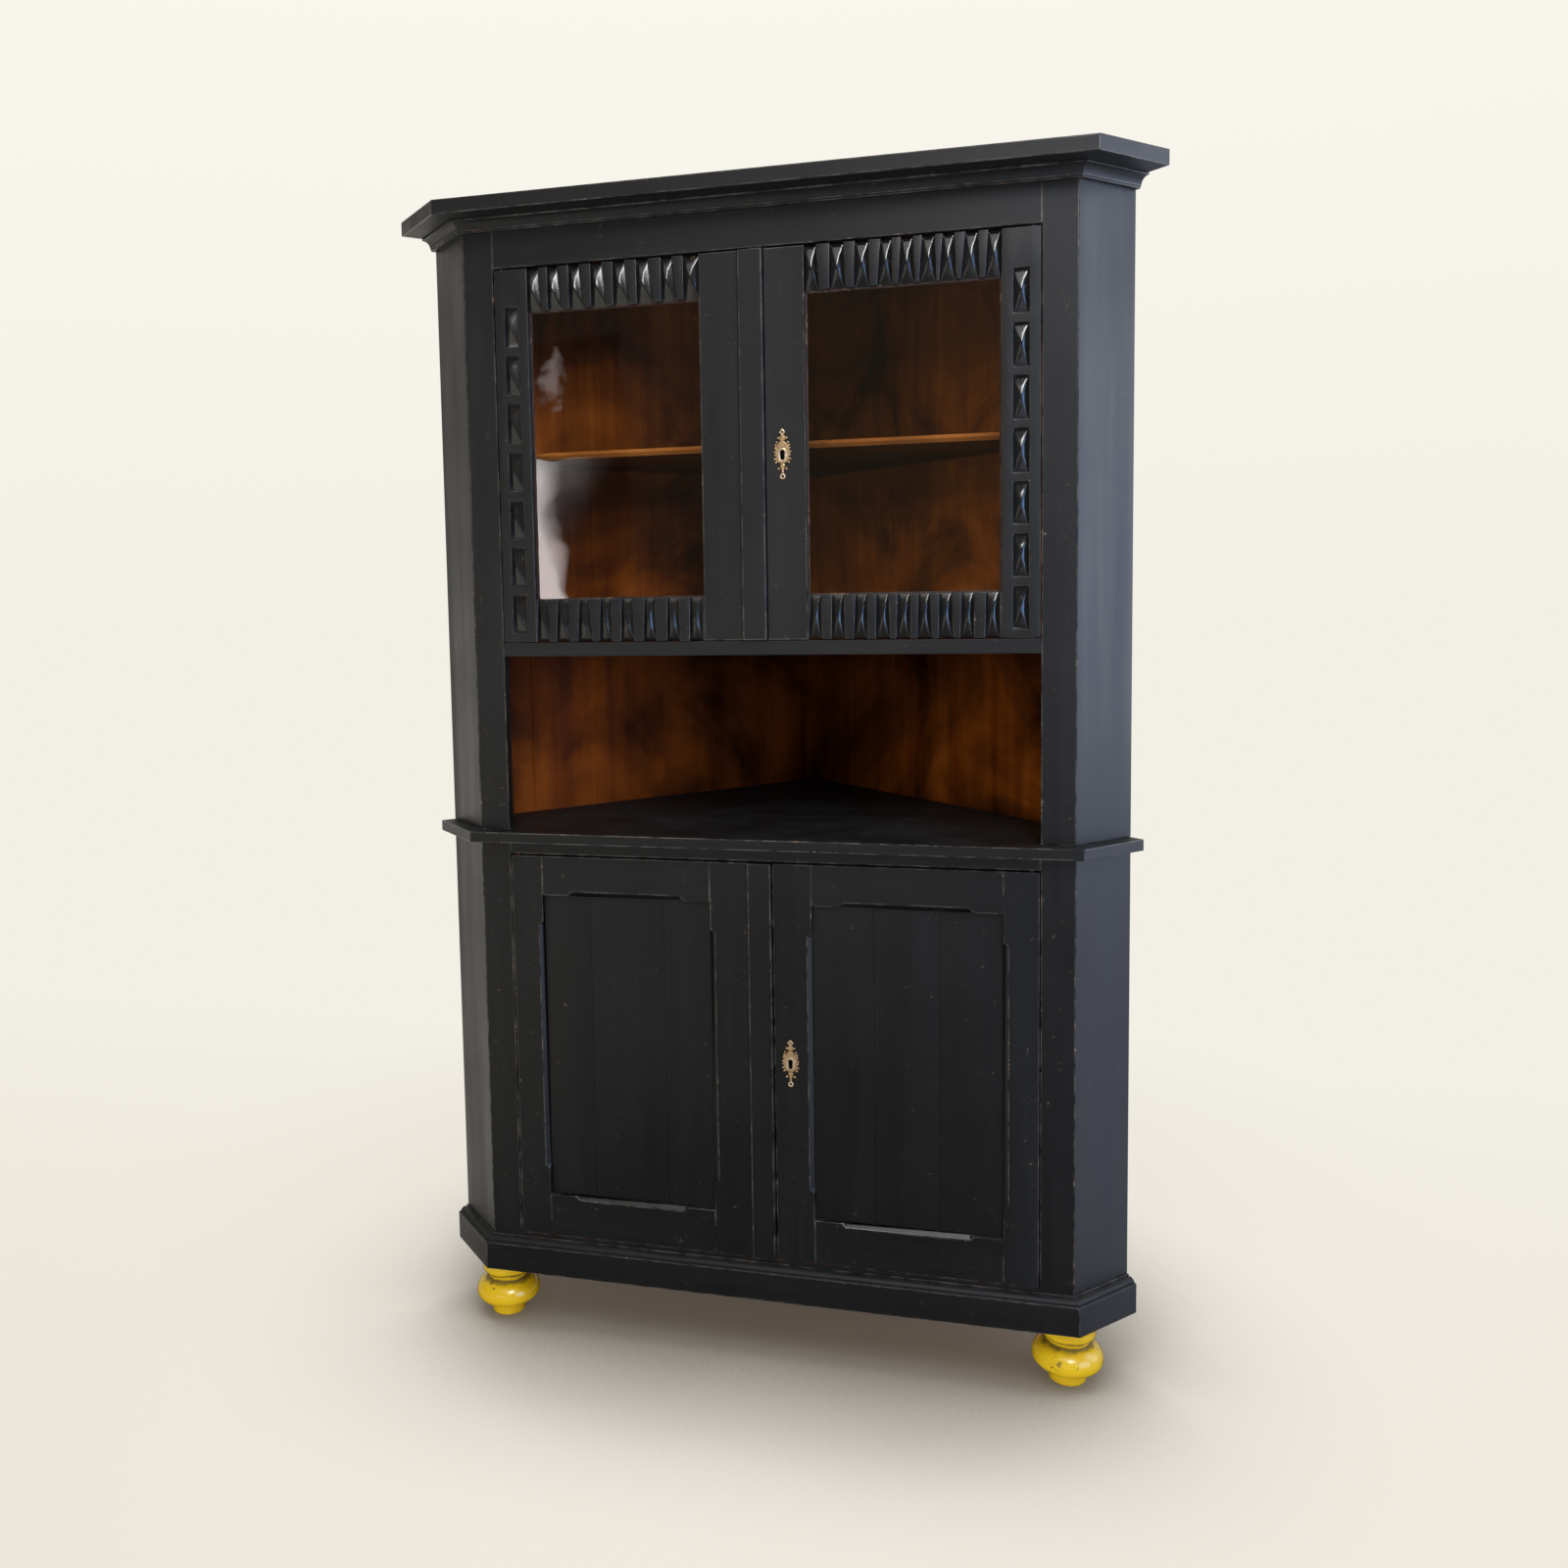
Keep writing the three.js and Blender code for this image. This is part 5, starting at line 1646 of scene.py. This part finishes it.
@dataclass
class GlazedDoor:
    """An upper door: carved outer stile and rails, wide inner stile, one pane."""

    side: Side
    inner: float
    top_notches: tuple[Notch, ...]
    foot_notches: tuple[Notch, ...]
    carving: Carving
    outer: float = 405.0
    low: float = 1281.5
    high: float = 1937.5
    opening: Pair = (1356.5, 1863.5)
    gap: float = 0.2
    line: Pair = (1.3, 1.5)
    fillet: Pair = (6.8, 6.2)
    fillet_widths: Pair = (10.0, 2.5)

    @property
    def name(self) -> str:
        """The door's name."""
        return f"upper_{self.side.word}_door"

    def build(self) -> None:
        """Makes the door's pieces."""
        rng = random.Random(11 + self.side.value)
        ends = self.side.span(self.outer, self.inner)
        left, right = ends[0] + self.gap, ends[1] - self.gap
        low, high = self.opening
        for place, foot, top, notches in (("top", high, self.high, self.top_notches),
                                          ("bottom", self.low, low, self.foot_notches)):
            CarvedRail(node=f"{self.name}_{place}_rail", body=self.name, carving=self.carving,
                       left=left, right=right, low=foot, high=top, notches=notches,
                       rabbet_above=place == "bottom").build(rng)
        CarvedStile(node=f"{self.name}_outer_stile", body=self.name, side=self.side,
                    carving=self.carving).build(rng)
        board(f"{self.name}_inner_stile", self.name, Grain.UP, TO_REAR)
        if self.side is Side.LEFT:
            board(f"{self.name}_cover_strip", self.name, Grain.UP)
        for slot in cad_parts[f"{self.name}_glass"].material_slots:
            slot.material = OldGlass().material()
        self._putty(left, right)

    def _putty(self, left: float, right: float) -> None:
        """Lays putty round the pane: a thin line in front of it and a sloped fillet behind it.

        Args:
            left: left end of the opening.
            right: its right end.
        """
        pane_low, pane_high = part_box(f"{self.name}_glass")
        low, high = self.opening
        front, rear = pane_low.y / MM, pane_high.y / MM
        deep, width = self.line
        lap, rise = self.fillet
        pieces = [
            self._frame("putty_line", (left, front - deep, low), (right, front, high), width, width),
            self._frame("putty_fillet", (left - lap, rear, low - lap),
                        (right + lap, rear + rise, high + lap), *self.fillet_widths)]
        piece = joined(f"{self.name}_putty", pieces)
        dress(piece, RedPutty().material())
        smooth(piece, 30.0)
        deliver(piece, self.name, "stained_pine")

    @staticmethod
    def _frame(name: str, low: Triple, high: Triple, front_width: float, back_width: float) -> Piece:
        """Makes a rectangular frame whose inner edge may slope.

        Args:
            name: its name.
            low: lowest corner.
            high: highest corner.
            front_width: its width at the front.
            back_width: its width at the back.

        Returns:
            The frame.
        """
        piece = block(name, low, high)
        with Bench(piece) as bench:
            bench.choose("FACE", lambda face: abs(face.normal.y) > 0.9)
            bpy.ops.mesh.inset(thickness=front_width * MM, depth=0.0, use_individual=True)
            bpy.ops.mesh.bridge_edge_loops()
            bench.choose("VERT", lambda vert: abs(vert.co.y - high[1] * MM) < 0.00001
                         and low[0] * MM + 0.0001 < vert.co.x < high[0] * MM - 0.0001)
            wide, tall = (high[0] - low[0]) * MM, (high[2] - low[2]) * MM
            change = 2 * (front_width - back_width) * MM
            bare_wide, bare_tall = wide - 2 * front_width * MM, tall - 2 * front_width * MM
            bpy.ops.transform.resize(value=(1 + change / bare_wide, 1.0, 1 + change / bare_tall),
                                     center_override=(Vector(low) + Vector(high)) / 2 * MM)
            bench.everything()
            bpy.ops.mesh.normals_make_consistent(inside=False)
        return piece


@dataclass
class PanelledDoor:
    """A lower door: plain frame with stopped chamfers round three boards."""

    side: Side
    joint: float = 0.4
    frame_arris: Arris = Arris(width=1.4, shortest=7.0, steepest=20.0)
    joint_arris: Arris = Arris(width=1.9, segments=2)

    def build(self) -> None:
        """Makes the door's pieces."""
        door = f"lower_{self.side.word}_door"
        for part, grain in (("outer_stile", Grain.UP), ("inner_stile", Grain.UP),
                            ("top_rail", Grain.ACROSS), ("bottom_rail", Grain.ACROSS)):
            board(f"{door}_{part}", door, grain, TO_REAR, self.frame_arris, True)
        for node in sorted(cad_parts):
            if node.startswith(f"{door}_board"):
                self._close_joints(board(node, door, Grain.UP, TO_REAR, self.joint_arris))
        if self.side is Side.LEFT:
            board(f"{door}_cover_strip", door, Grain.UP)

    def _close_joints(self, piece: Piece) -> None:
        """Widens a panel board so that it meets the next one, and paints its joints dark.

        Args:
            piece: the board.
        """
        piece.data.materials[EASED] = PAINT.material(Grain.UP)
        corners = [Vector(corner) for corner in piece.bound_box]
        wide = max(corner.x for corner in corners) - min(corner.x for corner in corners)
        with Bench(piece):
            bpy.ops.transform.resize(value=(1.0 + self.joint * MM / wide, 1.0, 1.0),
                                     center_override=sum(corners, Vector()) / len(corners))


# The room for the picture


@dataclass(frozen=True)
class SoftLight:
    """A rectangular soft light: where it stands, what it faces, its size and how bright it looks.

    One that doesn't light is only mirrored, as a piece of sky is in gloss.
    """

    name: str
    place: Triple
    aim: Triple
    size: Pair
    radiance: float
    colour: Colour = (1.0, 0.98, 0.95)
    lights: bool = True
    mirrored: bool = True

    def build(self) -> None:
        """Adds the light."""
        data = bpy.data.lights.new(self.name, "AREA")
        data.shape = "RECTANGLE"
        data.size, data.size_y = self.size
        data.color = self.colour
        data.energy = self.radiance * self.size[0] * self.size[1] * math.pi
        light = linked(self.name, data)
        light.visible_diffuse, light.visible_glossy = self.lights, self.mirrored
        light.visible_transmission = False
        light.location = self.place
        light.rotation_mode = "QUATERNION"
        light.rotation_quaternion = (Vector(self.aim) - Vector(self.place)).to_track_quat("-Z", "Y")


@dataclass(frozen=True)
class PaleScreen:
    """A pale screen out in the room, bright to the left and hazy to the right, seen only mirrored."""

    deep: float = -6000.0
    across: Pair = (-2640.0, -1890.0)
    up: Pair = (1290.0, 2960.0)
    radiance: float = 12.0
    tone: Colour = (1.0, 0.93, 0.92)
    lower: Pair = (1.30, 2.20)
    end: Pair = (2.200, 2.206)
    smear: Pair = (2.40, 2.70)

    def build(self) -> None:
        """Puts the screen up."""
        screen = block("pale_screen", (self.across[0], self.deep - 2.0, self.up[0]),
                       (self.across[1], self.deep, self.up[1]))
        for way in ("camera", "diffuse", "transmission", "volume_scatter", "shadow"):
            setattr(screen, f"visible_{way}", False)
        material = bpy.data.materials.new("pale_screen")
        material.use_nodes = True
        sheet = NodeSheet(material.node_tree)
        strength = self._pattern(sheet) * self.radiance
        glow = sheet.get("ShaderNodeEmission", 0, {"Color": self.tone, "Strength": strength})
        sheet.add("ShaderNodeOutputMaterial", {"Surface": glow})
        dress(screen, material)

    def _pattern(self, sheet: NodeSheet) -> Value:
        """Draws the bright column, the haze beside it and a smear over both.

        Args:
            sheet: the material's sheet.

        Returns:
            The brightness, from 0 to 1.
        """
        place = sheet.place()
        flat, up = sheet.axis(place, "X"), sheet.axis(place, "Z")
        across = flat + (sheet.noise(place, 3.0) - 0.5) * 0.25
        soft = up.spread(*self.lower, 0.025, 0.12)
        column = (across - up.spread(*self.lower, -2.33, -2.44)).spread(soft * -1.0, soft, 1.0, 0.0)
        haze = (across - up.spread(1.55, 2.20, -2.31, -1.90)).spread(-0.75, 0.0, 0.70, 0.0)
        aside, above = (flat + self.smear[0]) * 11.0, (up - self.smear[1]) * 4.6
        frayed = sheet.noise(place, 11.0, 4.0).spread(0.35, 0.65, -0.9, 0.9)
        radius = aside * aside + above * above + frayed
        lower = up.spread(*self.end, 1.0, 0.0) * column.most(haze * haze)
        return lower.most(radius.spread(-0.4, 1.1, 0.20, 0.0))


@dataclass
class Studio:
    """Camera, floor, pale surroundings and soft lights."""

    camera_place: Triple = (0.4060566, -2.4879009, 1.3781656)
    yaw: float = 0.2447139
    pitch: float = -0.079555
    roll: float = 0.0197998
    focal: float = 1305.8690407
    principal: Pair = (695.6231454, 701.0638095)
    frame_size: float = 1600.0
    sensor: float = 36.0
    floor_size: float = 60.0
    rim: Pair = (0.7, 1.7)
    cover_reach: float = 0.5
    upper_tone: Colour = (0.947, 0.922, 0.855)
    level_tone: Colour = (0.890, 0.863, 0.785)
    floor_tone: Colour = (0.815, 0.768, 0.665)
    near_tone: Colour = (0.97, 0.93, 0.83)
    # The darkest painted contact shadow on the floor.
    shade_tone: Colour = (0.085, 0.068, 0.050)
    lit_tone: Colour = (0.80, 0.76, 0.68)
    # The floor as seen in gloss: dim, and bluish to the right, painted reflections.
    dim_tone: Colour = (0.06, 0.06, 0.06)
    mirrored_tone: Colour = (0.70, 0.74, 0.95)
    ahead: Colour = (0.11, 0.085, 0.055)
    ahead_left: Colour = (0.035, 0.028, 0.024)
    overhead: Colour = (0.15, 0.14, 0.12)
    level: Colour = (0.34, 0.33, 0.32)
    lights: tuple[SoftLight, ...] = (
        SoftLight("window_right", (3.3, 0.15, 1.95), (0.5, -0.25, 1.4), (1.6, 2.7), 3.3,
                  (0.76, 0.83, 1.0)),
        SoftLight("sky_right", (3.27, -2.14, 1.7), (0.37, 0.06, 1.5), (2.3, 2.4), 6.0, (0.26, 0.52, 1.0),
                  lights=False),
        SoftLight("ceiling_left", (-1.1, -2.7, 3.7), (-1.1, -2.69, 0.0), (1.2, 1.5), 1.2),
        SoftLight("ceiling_right", (0.9, -2.4, 3.7), (0.9, -2.39, 0.0), (2.8, 2.0), 1.9),
        SoftLight("skylight", (1.15, -3.2, 3.5), (1.15, -3.19, 0.0), (0.9, 1.8), 26.0, (0.95, 0.97, 1.0),
                  lights=False),
        SoftLight("fill_front", (-0.1, -3.4, 0.9), (0.0, -0.3, 0.8), (2.6, 1.4), 2.8, mirrored=False),
        SoftLight("low_fill", (-0.6, -2.4, 0.35), (-0.1, -0.3, 0.05), (1.6, 0.3), 3.2, mirrored=False),
    )

    def build(self) -> None:
        """Builds the room."""
        self._camera()
        self._world()
        self._floor()
        PaleScreen().build()
        for light in self.lights:
            light.build()
        bpy.context.scene.view_settings.view_transform = "Standard"

    def _camera(self) -> None:
        """Puts the camera where the photograph was taken from."""
        data = bpy.data.cameras.new("camera")
        camera = linked("camera", data)
        turn = (Matrix.Rotation(self.yaw, 3, "Z") @ Matrix.Rotation(self.roll, 3, "Y")
                @ Matrix.Rotation(self.pitch, 3, "X"))
        matrix = Matrix((turn.col[0], turn.col[2], -turn.col[1])).transposed().to_4x4()
        matrix.translation = Vector(self.camera_place)
        camera.matrix_world = matrix
        data.sensor_width = self.sensor
        data.sensor_fit = "HORIZONTAL"
        data.lens = self.focal / self.frame_size * self.sensor
        data.shift_x = (self.frame_size / 2 - self.principal[0]) / self.frame_size
        data.shift_y = (self.principal[1] - self.frame_size / 2) / self.frame_size
        data.clip_start, data.clip_end = 0.01, 100.0
        bpy.context.scene.camera = camera

    def _world(self) -> None:
        """Makes the surroundings: pale where the camera sees them, plain and level as light."""
        world = bpy.data.worlds.new("room")
        bpy.context.scene.world = world
        world.use_nodes = True
        sheet = NodeSheet(world.node_tree)
        way = sheet.get("ShaderNodeTexCoord", "Generated")
        across, deep, up = (sheet.axis(way, name) for name in "XYZ")
        shown = sheet.blend(up.spread(-0.02, 0.40), self.level_tone, self.upper_tone)
        ahead = sheet.blend(across.spread(-0.35, -0.12), self.ahead_left, self.ahead)
        room = sheet.blend(up.spread(0.0, 0.7), ahead, self.overhead)
        behind = deep - across.spread(-0.7, 0.0, 0.28, 0.0)
        mirrored = sheet.blend(behind.spread(-0.15, 0.35), room, shown)
        glossy, through, depth, seen = (sheet.get("ShaderNodeLightPath", name) for name in (
            "Is Glossy Ray", "Is Transmission Ray", "Glossy Depth", "Is Camera Ray"))
        colour = sheet.blend(glossy, self.level, mirrored)
        colour = sheet.blend(seen.most(through - depth), colour, shown)
        background = sheet.get("ShaderNodeBackground", 0, {"Color": colour})
        sheet.add("ShaderNodeOutputWorld", {"Surface": background})

    def _floor(self) -> None:
        """Lays a pale floor that fades into the distance; near the cupboard its colour carries a painted
        contact shadow beside the lamps' own shadow, and in gloss it shows dim, and bluish to the right.
        """
        floor = added("plane", "floor", size=self.floor_size, location=(0.0, 0.0, 0.0))
        material = bpy.data.materials.new("pale_floor")
        material.use_nodes = True
        sheet = NodeSheet(material.node_tree)
        place = sheet.place()
        across, deep = sheet.axis(place, "X"), sheet.axis(place, "Y")
        away = sheet.maths("SQRT", across * across + deep * deep)
        glossy = sheet.get("ShaderNodeLightPath", "Is Glossy Ray")
        seen = sheet.get("ShaderNodeLightPath", "Is Camera Ray")
        # Seen in gloss the floor is dim: painted shade in its reflections.
        flat = sheet.get("ShaderNodeBsdfDiffuse", 0, {
            "Color": sheet.blend(glossy, self.lit_tone, self.dim_tone)})
        # Painted contact shadow: ambient occlusion darkens the floor's glow close to the cupboard.
        cover = sheet.get("ShaderNodeAmbientOcclusion", "AO", {"Distance": self.cover_reach}, samples=8)
        open_share = sheet.maths("POWER", cover.spread(0.30, 0.92), 2.6)
        near = sheet.blend(open_share, self.shade_tone, self.near_tone)
        far = sheet.blend(deep.spread(-1.3, 1.2), self.floor_tone, self.level_tone)
        tone = sheet.blend(away.spread(*self.rim), near, far)
        # To the right the floor seen in gloss glows bluish: a painted reflection.
        painted_blue_reflection = glossy * across.spread(0.0, 0.5)
        glow = sheet.get("ShaderNodeEmission", 0, {"Color": sheet.blend(painted_blue_reflection, tone, self.mirrored_tone)})
        shown = seen.most(glossy * abs(across).spread(0.6, 0.95))
        mix = sheet.get("ShaderNodeMixShader", 0, {
            0: away.spread(*self.rim, 0.74, 1.0) * shown, 1: flat, 2: glow})
        sheet.add("ShaderNodeOutputMaterial", {"Surface": mix})
        dress(floor, material)


# Sizes measured from the carving, and the whole

LEFT_TOP: tuple[Notch, ...] = (
    (0.0, 20.9, 0.0, 26.0), (37.9, 56.3, 37.9, 64.0), (77.3, 96.4, 77.3, 105.2),
    (117.5, 137.9, 117.5, 146.6), (157.6, 179.3, 157.6, 188.0), (200.0, 220.9, 200.0, 230.1),
    (243.7, 263.6, 243.7, 270.6), (282.8, 309.6, 282.8, 309.6))
LEFT_FOOT: tuple[Notch, ...] = (
    (3.9, 23.2, 1.2, 24.7), (41.9, 62.3, 37.8, 63.2), (82.0, 97.9, 77.9, 105.8),
    (121.2, 139.3, 118.3, 141.6), (160.4, 179.7, 158.1, 182.0), (202.1, 220.3, 199.2, 222.0),
    (243.6, 264.3, 241.9, 264.8), (284.2, 306.1, 282.6, 305.5))
RIGHT_TOP: tuple[Notch, ...] = (
    (0.0, 20.4, 0.0, 26.1), (43.0, 66.1, 41.6, 68.9), (84.5, 107.4, 82.3, 109.3),
    (126.8, 145.2, 120.4, 146.1), (159.8, 179.0, 154.9, 183.1), (194.0, 214.3, 188.5, 217.0),
    (227.1, 245.4, 220.3, 248.9), (262.8, 282.9, 254.8, 285.5), (298.8, 319.6, 293.5, 319.6))
RIGHT_FOOT: tuple[Notch, ...] = (
    (4.7, 23.3, 1.2, 24.1), (41.5, 61.7, 39.8, 62.8), (80.6, 100.7, 77.8, 100.1),
    (116.0, 136.4, 114.3, 138.7), (151.4, 172.2, 148.3, 171.7), (185.1, 204.4, 183.4, 207.2),
    (219.4, 240.1, 218.3, 242.4), (255.9, 275.9, 253.1, 275.6), (294.7, 316.2, 293.1, 317.6))


def report_solids() -> None:
    """Reports every solid that still shows as it came from the frame."""
    for name, node in sorted(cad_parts.items()):
        if not node.hide_render:
            LOG.info("%s shows its solid", name)


def main() -> None:
    """Builds the cupboard piece by piece, then the room round it."""
    logging.basicConfig(level=logging.INFO, format="%(name)s: %(message)s")
    Carcase().build()
    Mouldings().build()
    TurnedFeet().build()
    GlazedDoor(Side.LEFT, 95.0, LEFT_TOP, LEFT_FOOT, Carving(lean=-2.4, off_centre=-4.0)).build()
    GlazedDoor(Side.RIGHT, 85.0, RIGHT_TOP, RIGHT_FOOT, Carving()).build()
    for side in Side:
        PanelledDoor(side).build()
    for stage in ("upper", "lower"):
        Escutcheon(f"{stage}_right_door_escutcheon", f"{stage}_right_door").build()
        RimLock(stage).build()
    report_solids()
    Studio().build()


if __name__ == "__main__":
    main()
